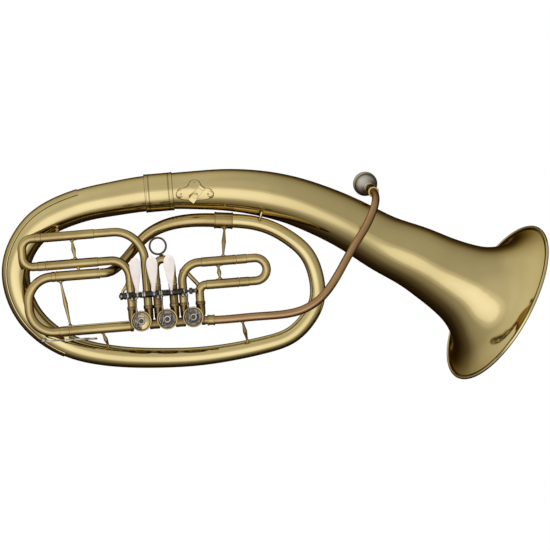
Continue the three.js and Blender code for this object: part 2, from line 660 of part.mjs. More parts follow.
// A link joins the lever's tail pin to the crank pin, with an eye at each end.
function linkRod(valveX, tailX) {
  const top = new THREE.Vector3(tailX + LINK_SIDE, tailTip.y, tailTip.z);
  const bottom = new THREE.Vector3(valveX + crankPin.x, -21.2, crankPin.z);
  const along = top.clone().sub(bottom);
  const bar = new THREE.CylinderGeometry(1.3, 1.3, along.length(), 8).translate(0, along.length() / 2, 0);
  const up = new THREE.Vector3(0, 1, 0);
  bar.applyQuaternion(new THREE.Quaternion().setFromUnitVectors(up, along.clone().normalize()));
  bar.translate(bottom.x, bottom.y, bottom.z);
  const topEye = rodAlongX(2.9, top.x - 1, top.x + 1, top.y, top.z, 10);
  const bottomEye = rodAlongY(2.6, -22.4, -19.8, bottom.x, bottom.z, 10);
  return toGeometry(cut(
    join(bar, topEye, bottomEye),
    rodAlongX(LINK_EYE_BORE, top.x - 5, top.x + 5, top.y, top.z, 8),
    rodAlongY(1.1 + GAP + 0.1, -25, -15, bottom.x, bottom.z, 8),
  ));
}

for (const [name, x] of Object.entries(VALVE_X)) {
  const valve = new THREE.Group();
  valve.position.x = x;
  machine.add(valve);
  addPart(valve, `${name}_valve_casing`, valveCasing(), BRASS);
  addPart(valve, `${name}_rotor`, valveRotor(), BRASS);
  addPart(valve, `${name}_front_plate`, frontPlate(), SILVER);
  addPart(valve, `${name}_back_cap`, backCap(), BRASS);
  addPart(valve, `${name}_stop_arm`, stopArm(), SILVER);
  addPart(machine, `${name}_lever`, lever(LEVERS[name]), PADDLE_WHITE);
  addPart(machine, `${name}_link`, linkRod(x, LEVERS[name].tailX), SILVER);
}

addPart(machine, "hinge_rod", rodAlongX(HINGE_ROD_RADIUS, -68, 41, HINGE_Y, HINGE_Z, 12), GUNMETAL);
const rodHole = rodAlongX(HINGE_ROD_RADIUS + GAP, -70, 50, HINGE_Y, HINGE_Z, 12);
addPart(machine, "left_hinge_bracket", toGeometry(cut(
  join(
    rodAlongX(4.6, -66.6, -56.6, HINGE_Y, HINGE_Z, 12),
    block(-61, -56.6, HINGE_Y, -6.8, HINGE_Z - 3, HINGE_Z + 5),
  ),
  rodHole,
)), GUNMETAL);
addPart(machine, "right_hinge_bracket", toGeometry(cut(
  join(
    rodAlongX(4.2, 35, 40, HINGE_Y, HINGE_Z, 12),
    block(35, 40, HINGE_Y, -7, HINGE_Z - 3, HINGE_Z + 3),
    block(35, 46, -9, -7, HINGE_Z - 3, HINGE_Z + 3),
  ),
  rodHole,
)), GUNMETAL);

const THUMB_RING = { radius: 12, wire: 1.5 };
const ring = new THREE.TorusGeometry(THUMB_RING.radius, THUMB_RING.wire, 6, 20);
addPart(horn, "thumb_ring", ring.rotateX(Math.PI / 2), BRONZE);

// ---- Braces ----

// A turned brace between two tubes, given by the middle and radius of each.
function brace(name, fromPoint, fromRadius, toPoint, toRadius) {
  const along = toPoint.clone().sub(fromPoint);
  const direction = along.clone().normalize();
  const length = along.length() - fromRadius - toRadius - 2 * 1.1;
  const profile = [
    [0, 0], [2.8, 0], [1.3, 1.5], [2.5, length / 2], [1.3, length - 1.5], [2.8, length], [0, length],
  ];
  const part = addPart(horn, name, turned(profile, 8), BRASS);
  part.position.copy(fromPoint).addScaledVector(direction, fromRadius + 1.1);
  part.quaternion.setFromUnitVectors(new THREE.Vector3(0, 1, 0), direction);
}
function machinePoint(x, z) {
  const [globalX, globalZ] = upright(x, z);
  return new THREE.Vector3(globalX, 0, globalZ);
}
function legBrace(name, [upperX, upperZ], [lowerX, lowerZ], radius) {
  brace(name, machinePoint(upperX, upperZ), radius, machinePoint(lowerX, lowerZ), radius);
}
legBrace("third_slide_brace", [-131, THIRD_UPPER_Z], [-127, THIRD_LOWER_Z], SLEEVE_RADIUS);
legBrace("tuning_slide_brace", [-152.6, TUNING_UPPER_Z], [-141.4, MAIN_Z], TUNING_SLEEVE_RADIUS);
legBrace("first_slide_brace", [80, FIRST_UPPER_Z], [82, FIRST_LOWER_Z], SLEEVE_RADIUS);
brace("third_slide_bow_brace", machinePoint(-152, THIRD_UPPER_Z), SLEEVE_RADIUS, bowPoint(-146, 47), 25.4);
brace("tuning_slide_bow_brace", machinePoint(-98, MAIN_Z), TUNING_SLEEVE_RADIUS, bowPoint(-66, -161), 18);
brace("leadpipe_brace", new THREE.Vector3(123, 0, -105.4), 6.3, bowPoint(134, -150), 13);
brace("first_slide_bow_brace", machinePoint(88, FIRST_UPPER_Z), SLEEVE_RADIUS, bowPoint(98, 37.4), 12);

// ---- Water key on the tuning slide ----

const WATER_KEY = { pivotX: -149.4, pivotZ: -18.4, padX: -183, touchX: -104 };
addPart(machine, "water_key_saddle", toGeometry(join(
  block(-153, -145.8, -5, 5, -15.2, -14),
  block(-152, -146.8, -5, -3.8, -20.6, -14),
  block(-152, -146.8, 3.8, 5, -20.6, -14),
  rodAlongY(1, -5, 5, WATER_KEY.pivotX, WATER_KEY.pivotZ, 8),
)), BRASS);
addPart(machine, "water_key", toGeometry(cut(
  join(
    block(WATER_KEY.padX, WATER_KEY.pivotX, -2, 2, WATER_KEY.pivotZ - 1, WATER_KEY.pivotZ + 1),
    rodAlongY(2.4, -3.3, 3.3, WATER_KEY.pivotX, WATER_KEY.pivotZ, 10),
    block(WATER_KEY.pivotX, WATER_KEY.touchX, -3, 3, WATER_KEY.pivotZ - 3.6, WATER_KEY.pivotZ + 1),
    rodAlongZ(4, WATER_KEY.pivotZ - 1.4, WATER_KEY.pivotZ + 5, WATER_KEY.padX, 0, 12),
  ),
  rodAlongY(1 + GAP, -6, 6, WATER_KEY.pivotX, WATER_KEY.pivotZ, 8),
)), SILVER);

// ---- Lyre holder on the bell branch ----

const holderRoute = stretch(bellRoute, 24, 82);
addPart(horn, "lyre_holder_plate", tubeWall(holderRoute, {
  sides: 5, wall: 1, lift: 1.4, fromAngle: -Math.PI * 0.62, toAngle: -Math.PI * 0.36,
}), BRASS);

// A square post, closed at its lower end, that takes a music lyre from above.
const LYRE_POST = { x: 56.8, z: 75.7, y: -6.2, half: 5, halfLength: 13.9, socket: 3.2, floor: 4 };
const postLean = THREE.MathUtils.degToRad(36.5);
const squareRod = (half, low, high) => block(-half, half, -half, half, low, high);
const post = cut(
  toSolid(squareRod(LYRE_POST.half, -LYRE_POST.halfLength, LYRE_POST.halfLength)),
  squareRod(LYRE_POST.socket, LYRE_POST.floor - LYRE_POST.halfLength, LYRE_POST.halfLength + 1),
);
const lyrePost = addPart(horn, "lyre_post", toGeometry(post), BRASS);
lyrePost.position.set(LYRE_POST.x, LYRE_POST.y, LYRE_POST.z);
lyrePost.rotation.y = postLean;

export default horn;
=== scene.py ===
# An oval tenor horn of the tuba family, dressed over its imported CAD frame.
# Metres, +Z up. The camera and the valve linkage are on the -Y side.
import json
import math

import bmesh
import bpy
import numpy as np
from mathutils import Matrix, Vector


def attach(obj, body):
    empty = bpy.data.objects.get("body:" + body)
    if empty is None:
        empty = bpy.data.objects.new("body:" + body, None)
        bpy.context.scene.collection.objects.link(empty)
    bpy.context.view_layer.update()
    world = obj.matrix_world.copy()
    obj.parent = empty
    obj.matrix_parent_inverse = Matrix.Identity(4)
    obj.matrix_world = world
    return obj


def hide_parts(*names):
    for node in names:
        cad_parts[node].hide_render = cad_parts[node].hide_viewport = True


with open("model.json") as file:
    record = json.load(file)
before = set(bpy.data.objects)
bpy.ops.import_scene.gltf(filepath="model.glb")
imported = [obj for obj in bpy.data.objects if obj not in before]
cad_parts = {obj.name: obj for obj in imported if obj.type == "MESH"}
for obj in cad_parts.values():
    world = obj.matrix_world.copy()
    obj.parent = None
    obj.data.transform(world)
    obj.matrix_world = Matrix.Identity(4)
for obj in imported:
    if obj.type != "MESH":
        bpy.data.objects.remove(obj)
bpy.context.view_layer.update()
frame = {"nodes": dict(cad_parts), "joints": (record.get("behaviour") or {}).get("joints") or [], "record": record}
NODES = frame["nodes"]
BODY_OF = {node: body for body, nodes in frame["record"]["behaviour"]["bodies"].items() for node in nodes}
MM = 0.001
VALVES = ("third", "second", "first")
SILVER_PARTS = {f"{valve}_{part}" for valve in VALVES for part in ("front_plate", "stop_arm", "link")}
SILVER_PARTS.add("water_key")
DARK_PARTS = {"hinge_rod", "left_hinge_bracket", "right_hinge_bracket"}


# The finish of a CAD node.
def finish_of(node):
    if node in SILVER_PARTS:
        return "nickel_silver"
    if node in DARK_PARTS:
        return "gunmetal"
    if node in {f"{valve}_lever" for valve in VALVES}:
        return "lever_white"
    return {"leadpipe": "rose_brass", "mouthpiece": "silver_plate", "thumb_ring": "dark_bronze"}.get(
        node, "lacquered_brass"
    )


# ---- Materials ----

def node_tree(name):
    material = bpy.data.materials.new(name)
    material.use_nodes = True
    nodes, links = material.node_tree.nodes, material.node_tree.links
    return material, nodes, links, nodes["Principled BSDF"]


def ramp_of(nodes, stops):
    ramp = nodes.new("ShaderNodeValToRGB")
    ramp.color_ramp.interpolation = "EASE"
    while len(ramp.color_ramp.elements) < len(stops):
        ramp.color_ramp.elements.new(0.5)
    for element, (place, colour) in zip(ramp.color_ramp.elements, stops):
        element.position = place
        element.color = (*colour, 1)
    return ramp


def noise_of(nodes, links, coordinates, scale, detail=3, roughness=0.55, distortion=0.0):
    noise = nodes.new("ShaderNodeTexNoise")
    noise.inputs["Scale"].default_value = scale
    noise.inputs["Detail"].default_value = detail
    noise.inputs["Roughness"].default_value = roughness
    noise.inputs["Distortion"].default_value = distortion
    links.new(coordinates.outputs["Object"], noise.inputs["Vector"])
    return noise


def grey(value):
    return (value, value, value)


# Polished metal under lacquer: slow drifts of tint, faint smears in the gloss and fine draw lines.
# A larger drift makes smaller patches of tint. The edge colour is what the metal mirrors at a glancing angle.
def polished(name, colour, tint, rough, smear, coat=0.1, drift=9, metallic=1.0, edge=(0.5, 0.34, 0.17)):
    material, nodes, links, shader = node_tree(name)
    shader.inputs["Metallic"].default_value = metallic
    shader.inputs["Specular Tint"].default_value = (*edge, 1)
    shader.inputs["Coat Weight"].default_value = coat
    shader.inputs["Coat Roughness"].default_value = 0.06
    place = nodes.new("ShaderNodeTexCoord")

    tone = noise_of(nodes, links, place, drift, 4, 0.6, 0.4)
    colours = ramp_of(nodes, [(0.3, colour), (0.72, tint)])
    links.new(tone.outputs["Fac"], colours.inputs["Fac"])
    links.new(colours.outputs["Color"], shader.inputs["Base Color"])

    smears = noise_of(nodes, links, place, 34, 6, 0.65, 1.2)
    gloss = ramp_of(nodes, [(0.35, grey(rough)), (0.75, grey(rough + smear))])
    links.new(smears.outputs["Fac"], gloss.inputs["Fac"])
    links.new(gloss.outputs["Color"], shader.inputs["Roughness"])

    fine = noise_of(nodes, links, place, 850, 2, 0.5)
    bump = nodes.new("ShaderNodeBump")
    bump.inputs["Strength"].default_value = 0.02
    bump.inputs["Distance"].default_value = 0.0004
    links.new(fine.outputs["Fac"], bump.inputs["Height"])
    links.new(bump.outputs["Normal"], shader.inputs["Normal"])
    return material


FINISHES = {
    "lacquered_brass": dict(
        colour=(0.59, 0.485, 0.23), tint=(0.53, 0.43, 0.193), rough=0.08, smear=0.05, coat=0.05),
    # Painted shade: a darker copy of the lacquered brass, for the dimmer light and darker reflections on the small
    # tubes and fittings.
    "shaded_brass": dict(
        colour=(0.45, 0.345, 0.138), tint=(0.33, 0.235, 0.088), rough=0.11, smear=0.06, coat=0.3, drift=16,
        edge=(0.34, 0.22, 0.1)),
    # Painted shade: a still darker copy of the brass, for the shade inside the valve cluster.
    "deep_shade_brass": dict(
        colour=(0.26, 0.18, 0.065), tint=(0.12, 0.075, 0.028), rough=0.2, smear=0.1, coat=0.2, drift=45,
        edge=(0.24, 0.15, 0.07)),
    "rose_brass": dict(
        colour=(0.42, 0.26, 0.125), tint=(0.33, 0.195, 0.09), rough=0.18, smear=0.07, coat=0.15),
    "nickel_silver": dict(
        colour=(0.52, 0.48, 0.43), tint=(0.3, 0.265, 0.23), rough=0.24, smear=0.1, coat=0.05, drift=60,
        edge=(0.4, 0.36, 0.3)),
    # Painted shade: a darker copy of the nickel with near-black patches, for the shade on the water key and the
    # bearing plates.
    "shaded_nickel": dict(
        colour=(0.42, 0.38, 0.33), tint=(0.07, 0.055, 0.04), rough=0.22, smear=0.12, drift=120,
        edge=(0.3, 0.26, 0.2)),
    "silver_plate": dict(
        colour=(0.62, 0.585, 0.52), tint=(0.5, 0.47, 0.41), rough=0.3, smear=0.1, coat=0.05, drift=30,
        edge=(0.2, 0.18, 0.16)),
    "gunmetal": dict(
        colour=(0.10, 0.09, 0.085), tint=(0.045, 0.04, 0.036), rough=0.28, smear=0.12, drift=70,
        edge=(0.3, 0.28, 0.26)),
    "dark_bronze": dict(
        colour=(0.12, 0.075, 0.036), tint=(0.06, 0.037, 0.017), rough=0.26, smear=0.12, drift=60),
    "lever_white": dict(
        colour=(0.80, 0.745, 0.72), tint=(0.73, 0.665, 0.64), rough=0.45, smear=0.12, drift=50, metallic=0.1,
        edge=(1, 0.96, 0.93)),
}
MATERIALS = {name: polished(name, **finish) for name, finish in FINISHES.items()}

# Painted shade on darker copies of two metals of the record: the brass of the small tubes and the valves stands in
# for their dimmer light and darker reflections, and blotchy nickel for the shade on the water key and bearing
# plates.
BRIGHT_TUBES = {"bell", "bell_ferrule", "main_bow", "leadpipe"}
DEEP_SHADE_TUBES = {"second_slide_left_sleeve", "second_slide_right_sleeve", "valve_link_3_2", "valve_link_2_1"}


# The bell, its ferrule, the bow and the leadpipe keep their finish; the other tubes take the painted-shade copies
# of the brass.
def tube_finish(node):
    if node in BRIGHT_TUBES:
        return finish_of(node)
    return "deep_shade_brass" if node in DEEP_SHADE_TUBES else "shaded_brass"


# ---- Meshes ----

# A finished piece: its mesh in world coordinates, on a CAD body, with a finish and the nodes it stands for.
def piece(name, vertices, faces, finish, body, stands_for=(), sharp=32):
    mesh = bpy.data.meshes.new(name)
    mesh.from_pydata([tuple(v) for v in vertices], [], faces)
    mesh.validate()
    solid = bmesh.new()
    solid.from_mesh(mesh)
    bmesh.ops.recalc_face_normals(solid, faces=solid.faces)
    solid.to_mesh(mesh)
    solid.free()
    mesh.shade_smooth()
    mesh.set_sharp_from_angle(angle=math.radians(sharp))
    mesh.materials.append(MATERIALS[finish])
    made = bpy.data.objects.new(name, mesh)
    bpy.context.scene.collection.objects.link(made)
    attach(made, body)
    if stands_for:
        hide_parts(*stands_for)
    return made


# Quads between loops of equal length, in order, with the ends joined to each other or capped.
def skin(loops, joined=False):
    count = len(loops[0])
    vertices = [tuple(corner) for loop in loops for corner in loop]
    faces = []
    pairs = [(k, k + 1) for k in range(len(loops) - 1)]
    if joined:
        pairs.append((len(loops) - 1, 0))
    for a, b in pairs:
        for k in range(count):
            n = (k + 1) % count
            faces.append((a * count + k, a * count + n, b * count + n, b * count + k))
    if not joined:
        faces.append(tuple(reversed(range(count))))
        faces.append(tuple((len(loops) - 1) * count + k for k in range(count)))
    return vertices, faces


# ---- Tubes ----

def end_faces(mesh):
    groups, seen = [], set()
    for face in mesh.faces:
        if face.index in seen:
            continue
        group, waiting = [], [face]
        seen.add(face.index)
        while waiting:
            one = waiting.pop()
            group.append(one)
            for other in {f for edge in one.edges for f in edge.link_faces}:
                if other.index not in seen and other.normal.dot(face.normal) > 0.99999:
                    seen.add(other.index)
                    waiting.append(other)
        groups.append(group)
    return max(groups, key=len)


# The cross-sections of a hollow CAD tube, end to end: centre, direction, outer and inner radius.
def sections_of(node):
    mesh = bmesh.new()
    mesh.from_mesh(NODES[node].data)
    bmesh.ops.remove_doubles(mesh, verts=mesh.verts, dist=2e-6)
    mesh.normal_update()
    mesh.faces.index_update()
    layer = {v for face in end_faces(mesh) for v in face.verts}
    visited = set(layer)
    centres, normals, radii = [], [], []
    while layer:
        points = np.array([v.co for v in layer])
        centre = points.mean(axis=0)
        away = points - centre
        distance = np.sort(np.linalg.norm(away, axis=1))
        half = len(distance) // 2
        centres.append(centre)
        normals.append(np.linalg.svd(away)[2][-1])
        radii.append((distance[half:].mean(), distance[:half].mean()))
        layer = {e.other_vert(v) for v in layer for e in v.link_edges} - visited
        visited |= layer
    mesh.free()
    centres = np.array(centres)
    if centres[0][0] > centres[-1][0]:
        centres, normals, radii = centres[::-1], normals[::-1], radii[::-1]
    along = np.gradient(centres, axis=0)
    normals = [n if n.dot(a) > 0 else -n for n, a in zip(normals, along)]
    return centres, np.array(normals), np.array(radii)


def natural_spline(places, values, fresh):
    gaps = np.diff(places)
    size = len(places)
    system = np.eye(size)
    right = np.zeros_like(values)
    for k in range(1, size - 1):
        system[k, k - 1: k + 2] = gaps[k - 1], 2 * (gaps[k - 1] + gaps[k]), gaps[k]
        right[k] = 6 * ((values[k + 1] - values[k]) / gaps[k] - (values[k] - values[k - 1]) / gaps[k - 1])
    bend = np.linalg.solve(system, right)
    k = np.clip(np.searchsorted(places, fresh) - 1, 0, size - 2)
    gap = gaps[k][:, None]
    left, rest = (fresh - places[k])[:, None], (places[k + 1] - fresh)[:, None]
    curve = (bend[k] * rest**3 + bend[k + 1] * left**3) / (6 * gap)
    curve = curve + (values[k] / gap - bend[k] * gap / 6) * rest
    return curve + (values[k + 1] / gap - bend[k + 1] * gap / 6) * left


# Fine stops through the CAD sections: round arcs for bent tubes, one even curve for flowing ones.
def fine_route(node, flowing=False, step=4 * MM):
    centres, normals, radii = sections_of(node)
    if flowing:
        profile = np.hstack([centres, radii])
        stride = np.linalg.norm(np.diff(profile[:, :4], axis=0), axis=1)
        reach = np.concatenate([[0], np.cumsum(stride)])
        fresh = np.linspace(0, reach[-1], max(8, int(reach[-1] / step)))
        values = natural_spline(reach, profile, fresh)
        points, widths = values[:, :3], values[:, 3:]
        directions = np.gradient(points, axis=0)
    else:
        points, directions, widths = [centres[0]], [normals[0]], [radii[0]]
        for k in range(len(centres) - 1):
            chord = np.linalg.norm(centres[k + 1] - centres[k])
            turn = math.acos(min(1, max(-1, normals[k].dot(normals[k + 1]))))
            pull = chord / math.cos(turn / 4) ** 2
            parts = max(1, math.ceil(math.degrees(turn) / 4))
            for part in range(1, parts + 1):
                t = part / parts
                h = (2 * t**3 - 3 * t**2 + 1, t**3 - 2 * t**2 + t, -2 * t**3 + 3 * t**2, t**3 - t**2)
                g = (6 * t**2 - 6 * t, 3 * t**2 - 4 * t + 1, 6 * t - 6 * t**2, 3 * t**2 - 2 * t)
                ends = (centres[k], normals[k] * pull, centres[k + 1], normals[k + 1] * pull)
                points.append(sum(w * e for w, e in zip(h, ends)))
                directions.append(sum(w * e for w, e in zip(g, ends)))
                widths.append(radii[k] * (1 - t) + radii[k + 1] * t)
        points, directions, widths = np.array(points), np.array(directions), np.array(widths)
    directions = directions / np.linalg.norm(directions, axis=1)[:, None]
    reach = np.concatenate([[0], np.cumsum(np.linalg.norm(np.diff(points, axis=0), axis=1))])
    side = np.cross(directions[0], (0.02, 1.0, 0.01))
    sides = []
    for direction in directions:
        side = side - side.dot(direction) * direction
        side = side / np.linalg.norm(side)
        sides.append(side)
    sides = np.array(sides)
    return {
        "points": points, "along": directions, "side": sides, "other": np.cross(directions, sides),
        "outer": widths[:, 0], "inner": widths[:, 1], "reach": reach,
    }


def unit(vector):
    vector = np.array(vector, dtype=float)
    return vector / np.linalg.norm(vector)


# The route's own frame and radii at any distance along it. A negative distance counts from the end.
def frame_at(route, distance):
    if distance < 0:
        distance += route["reach"][-1]

    def read(key):
        values = route[key]
        if values.ndim == 1:
            return np.interp(distance, route["reach"], values)
        return np.array([np.interp(distance, route["reach"], values[:, k]) for k in range(3)])

    axes = [unit(read(key)) for key in ("along", "side", "other")]
    return read("points"), *axes, read("outer"), read("inner")


def full_turn(count):
    return np.linspace(0, 2 * math.pi, count, endpoint=False)


def circle(centre, side, other, radius, count):
    turn = full_turn(count)
    return centre + radius * (np.cos(turn)[:, None] * side + np.sin(turn)[:, None] * other)


def tube(node, flowing=False, count=40, step=4 * MM):
    route = fine_route(node, flowing, step)
    loops = [
        circle(route["points"][k], route["side"][k], route["other"][k], route[wall][k], count)
        for wall, order in (("outer", 1), ("inner", -1))
        for k in range(len(route["points"]))[::order]
    ]
    vertices, faces = skin(loops, joined=True)
    piece(node + "_tube", vertices, faces, tube_finish(node), BODY_OF[node], [node])
    return route


# A turned ring of metal round a tube: (distance from its middle, height above the wall) corners, in mm.
# By default a collar takes the painted-shade copy of the brass.
def collar(name, route, distance, profile, body="horn", finish="shaded_brass", count=48, sink=0.15):
    loops = []
    total = route["reach"][-1]
    middle = distance if distance >= 0 else total + distance
    for offset, height in [*profile, (profile[-1][0], -sink), (profile[0][0], -sink)]:
        place = min(max(middle + offset * MM, 0), total)
        point, along, side, other, outer, _ = frame_at(route, place)
        spill = middle + offset * MM - place
        loops.append(circle(point + along * spill, side, other, outer + height * MM, count))
    vertices, faces = skin(loops, joined=True)
    return piece(name, vertices, faces, finish, body)


# How many sides each tube has round it. A flowing tube also says how long a step along it is, in mm.
FLOWING = {"bell": (96, 3), "main_bow": (72, 4), "inner_branch": (48, 4), "leadpipe": (48, 4)}
UPPER_LOWER = ("upper_sleeve", "lower_sleeve")
SLEEVES = {
    "third_slide": UPPER_LOWER, "first_slide": UPPER_LOWER, "second_slide": ("left_sleeve", "right_sleeve"),
    "tuning_slide": UPPER_LOWER,
}
BENT = {"bell_ferrule": 72, "branch_ferrule": 56, "leadpipe_ferrule": 48, "mouthpiece_receiver": 48}
for slide, sleeves in SLEEVES.items():
    BENT.update({f"{slide}_{sleeve}": 44 for sleeve in sleeves})
    if slide != "tuning_slide":
        BENT[slide.replace("slide", "valve_slide")] = 44
BENT.update({"main_tuning_slide": 48, "valve_link_3_2": 40, "valve_link_2_1": 40})
ROUTES = {node: tube(node, True, count, step * MM) for node, (count, step) in FLOWING.items()}
ROUTES.update({node: tube(node, False, count) for node, count in BENT.items()})

# The leadpipe isn't mirrored in the bell branch behind it.
bpy.data.objects["leadpipe_tube"].visible_glossy = False


# ---- Turned, bent and cut metal ----

# The tilted frame of the valves, from the rotor joints: local millimetres to world metres.
PIVOTS = {joint["name"]: Vector(joint.get("pos_m", (0, 0, 0))) for joint in frame["joints"]}
VALVE_PIVOTS = {valve: PIVOTS[f"{valve}_rotor_turn"] for valve in VALVES}
ACROSS = (VALVE_PIVOTS["first"] - VALVE_PIVOTS["third"]).normalized()
BACK = Vector((0, 1, 0))
UP = ACROSS.cross(BACK)
VALVE_X = {valve: (pivot - VALVE_PIVOTS["second"]).dot(ACROSS) / MM for valve, pivot in VALVE_PIVOTS.items()}


def local(x, y, z):
    return VALVE_PIVOTS["second"] + (ACROSS * x + BACK * y + UP * z) * MM


def across(axis):
    side = np.cross(axis, (0.31, 0.2, 0.93) if abs(axis[2]) < 0.9 else (1, 0, 0))
    side = unit(side)
    return side, np.cross(axis, side)


# Softens the corners of a profile or outline, so that its edges catch the light.
def rounded(corners, radius=0.3, ring=False, steps=3):
    softened = []
    size = len(corners)
    for k, corner in enumerate(corners):
        if not ring and k in (0, size - 1):
            softened.append(tuple(corner))
            continue
        here = np.array(corner, dtype=float)
        before, after = np.array(corners[k - 1]) - here, np.array(corners[(k + 1) % size]) - here
        reach = min(radius, 0.45 * np.linalg.norm(before), 0.45 * np.linalg.norm(after))
        start, end = here + unit(before) * reach, here + unit(after) * reach
        for t in np.linspace(0, 1, steps):
            softened.append(tuple((1 - t) ** 2 * start + 2 * t * (1 - t) * here + t * t * end))
    return softened


# A piece turned about an axis, from (radius, distance along) corners in mm. Flutes are cut where the radius
# is at least the first of their three numbers: that radius, how many there are and how deep they are.
def turned(name, profile, origin, axis, finish, body="horn", stands_for=(), ring=False, count=48, soft=0.3,
           flutes=None):
    axis = unit(axis)
    side, other = across(axis)
    turn = full_turn(count)
    loops = []
    for radius, along in rounded(profile, soft, ring):
        wide = max(radius, 0.02) * MM * np.ones(count)
        if flutes and radius >= flutes[0]:
            wide = wide - flutes[2] * MM * (0.5 - 0.5 * np.cos(turn * flutes[1]))
        rim = wide[:, None] * (np.cos(turn)[:, None] * side + np.sin(turn)[:, None] * other)
        loops.append(np.array(origin) + axis * along * MM + rim)
    vertices, faces = skin(loops, joined=ring)
    return piece(name, vertices, faces, finish, body, stands_for)


# A rod of round metal through points in metres, with domed ends. Its radius is in mm.
def wire(name, points, radius, finish, body="horn", count=12):
    points = np.array([tuple(p) for p in points])
    wide = radius * MM
    dome = [(wide * 0.6 * math.sin(a), wide * math.cos(a)) for a in (0.5, 1.0, 1.5)]
    along = np.gradient(points, axis=0)
    along = along / np.linalg.norm(along, axis=1)[:, None]
    side, _ = across(along[0])
    loops = []
    for k, (point, direction) in enumerate(zip(points, along)):
        side = unit(side - side.dot(direction) * direction)
        rings = [(0, wide)]
        if k == 0:
            rings = [(-ahead, size) for ahead, size in reversed(dome)] + rings
        if k == len(points) - 1:
            rings = rings + dome
        for ahead, size in rings:
            loops.append(circle(point + direction * ahead, side, np.cross(direction, side), size, count))
    vertices, faces = skin(loops)
    return piece(name, vertices, faces, finish, body)


# A flat piece with softened edges, from an outline in mm laid along two directions from an origin.
def slab(name, outline, low, high, origin, first, second, finish, body="horn", stands_for=(), soft=0.35):
    first, second = unit(first), unit(second)
    third = np.cross(first, second)
    centre = np.mean(np.array(outline), axis=0)
    loops = []
    for depth, inset in ((low, soft), (low + soft * 0.4, soft * 0.4), (low + soft, 0),
                         (high - soft, 0), (high - soft * 0.4, soft * 0.4), (high, soft)):
        loop = []
        for corner in outline:
            away = np.array(corner) - centre
            a, b = centre + away * max(0.1, 1 - inset / max(np.linalg.norm(away), 1e-6))
            loop.append(np.array(origin) + (first * a + second * b + third * depth) * MM)
        loops.append(loop)
    vertices, faces = skin(loops)
    return piece(name, vertices, faces, finish, body, stands_for, sharp=50)


def rectangle(width, height, soft=0.5):
    w, h = width / 2, height / 2
    return rounded([(-w, -h), (w, -h), (w, h), (-w, h)], soft, ring=True)


# A slotted screw whose head faces along the given direction. The slot is not cut: a thin dark gunmetal strip on
# the head is painted shade for it.
def screw(name, origin, facing, radius, body="horn", finish="nickel_silver"):
    head = [(0, 0.75), (radius * 0.5, 0.72), (radius * 0.85, 0.5), (radius, 0.2), (radius, -0.6), (0, -0.6)]
    turned(name, head, origin, facing, finish, body, count=24, soft=0.1)
    side, other = across(unit(facing))
    slot_shade_at = np.array(origin) + unit(facing) * 0.7 * MM
    slab(name + "_slot_shade", rectangle(radius * 1.7, radius * 0.3, soft=0.05), 0, 0.12, slot_shade_at, side, other,
         "gunmetal", body, soft=0.03)


# The place on a route nearest to a point: its distance along, and how far the point is outside the wall.
def nearest(route, point):
    away = np.linalg.norm(route["points"] - np.array(point), axis=1)
    k = int(np.argmin(away))
    low, high = max(k - 1, 0), min(k + 1, len(away) - 1)
    best = min(
        (np.linalg.norm(frame_at(route, reach)[0] - np.array(point)), reach)
        for reach in np.linspace(route["reach"][low], route["reach"][high], 21)
    )
    return best[1], best[0] - frame_at(route, best[1])[4]


# A thin plate soldered to a tube: its outline, in mm along and round the tube, is bent to the tube's surface.
def patch(name, route, distance, facing, outline, lift, body="horn", finish="lacquered_brass"):
    _, _, side, other, outer, _ = frame_at(route, distance)
    facing = np.array(facing)
    middle = math.atan2(facing.dot(other), facing.dot(side))
    edge = []
    for k, corner in enumerate(outline):
        following = np.array(outline[(k + 1) % len(outline)])
        edge += [np.array(corner) * (1 - t) + following * t for t in (0, 0.34, 0.67)]
    loops = []
    for share, height in ((0.02, 1), (0.35, 1), (0.7, 1), (0.96, 1), (1, 0.6), (1, -0.3)):
        loop = []
        for corner in edge:
            along, round_it = corner * share * MM
            point, _, side, other, outer, _ = frame_at(route, distance + along)
            angle = middle + round_it / outer
            outward = math.cos(angle) * side + math.sin(angle) * other
            loop.append(point + (outer + lift * height * MM) * outward)
        loops.append(loop)
    vertices, faces = skin(loops)
    return piece(name, vertices, faces, finish, body, sharp=40)


DIAMOND = rounded(
    [(5.5, 0), (1.6, 2.4), (0, 3.6), (-1.6, 2.4), (-5.5, 0), (-1.6, -2.4), (0, -3.6), (1.6, -2.4)], 1.2, True
)


# The two ends of a slender CAD node.
def ends_of(node):
    points = np.array([v.co for v in NODES[node].data.vertices])
    centre = points.mean(axis=0)
    axis = np.linalg.svd(points - centre, full_matrices=False)[2][0]
    reach = (points - centre).dot(axis)
    return centre + axis * reach.min(), centre + axis * reach.max()


# A spindle-shaped brace with a collar at each end and a diamond foot soldered to the tube it meets.
def brace(node):
    start, end = ends_of(node)
    axis, length = unit(end - start), np.linalg.norm(end - start) / MM
    half = [
        (0, -0.9), (2.9, -0.9), (2.9, 0.5), (1.5, 1.3), (1.9, 1.9), (1.6, 2.6), (2.0, length * 0.2),
        (3.0, length * 0.44),
    ]
    profile = half + [(3.3, length / 2)] + [(r, length - along) for r, along in reversed(half)]
    turned(node + "_spindle", profile, start, axis, "shaded_brass", BODY_OF[node], [node], count=24, soft=0.5)
    for foot, (point, way) in enumerate(((start, -axis), (end, axis))):
        name = min(ROUTES, key=lambda other: abs(nearest(ROUTES[other], point)[1]))
        distance, gap = nearest(ROUTES[name], point)
        if abs(gap) < 4 * MM:
            patch(f"{node}_foot_{foot}", ROUTES[name], distance, -way, DIAMOND, 0.7, BODY_OF[node])


# ---- Bell, bow and slides ----

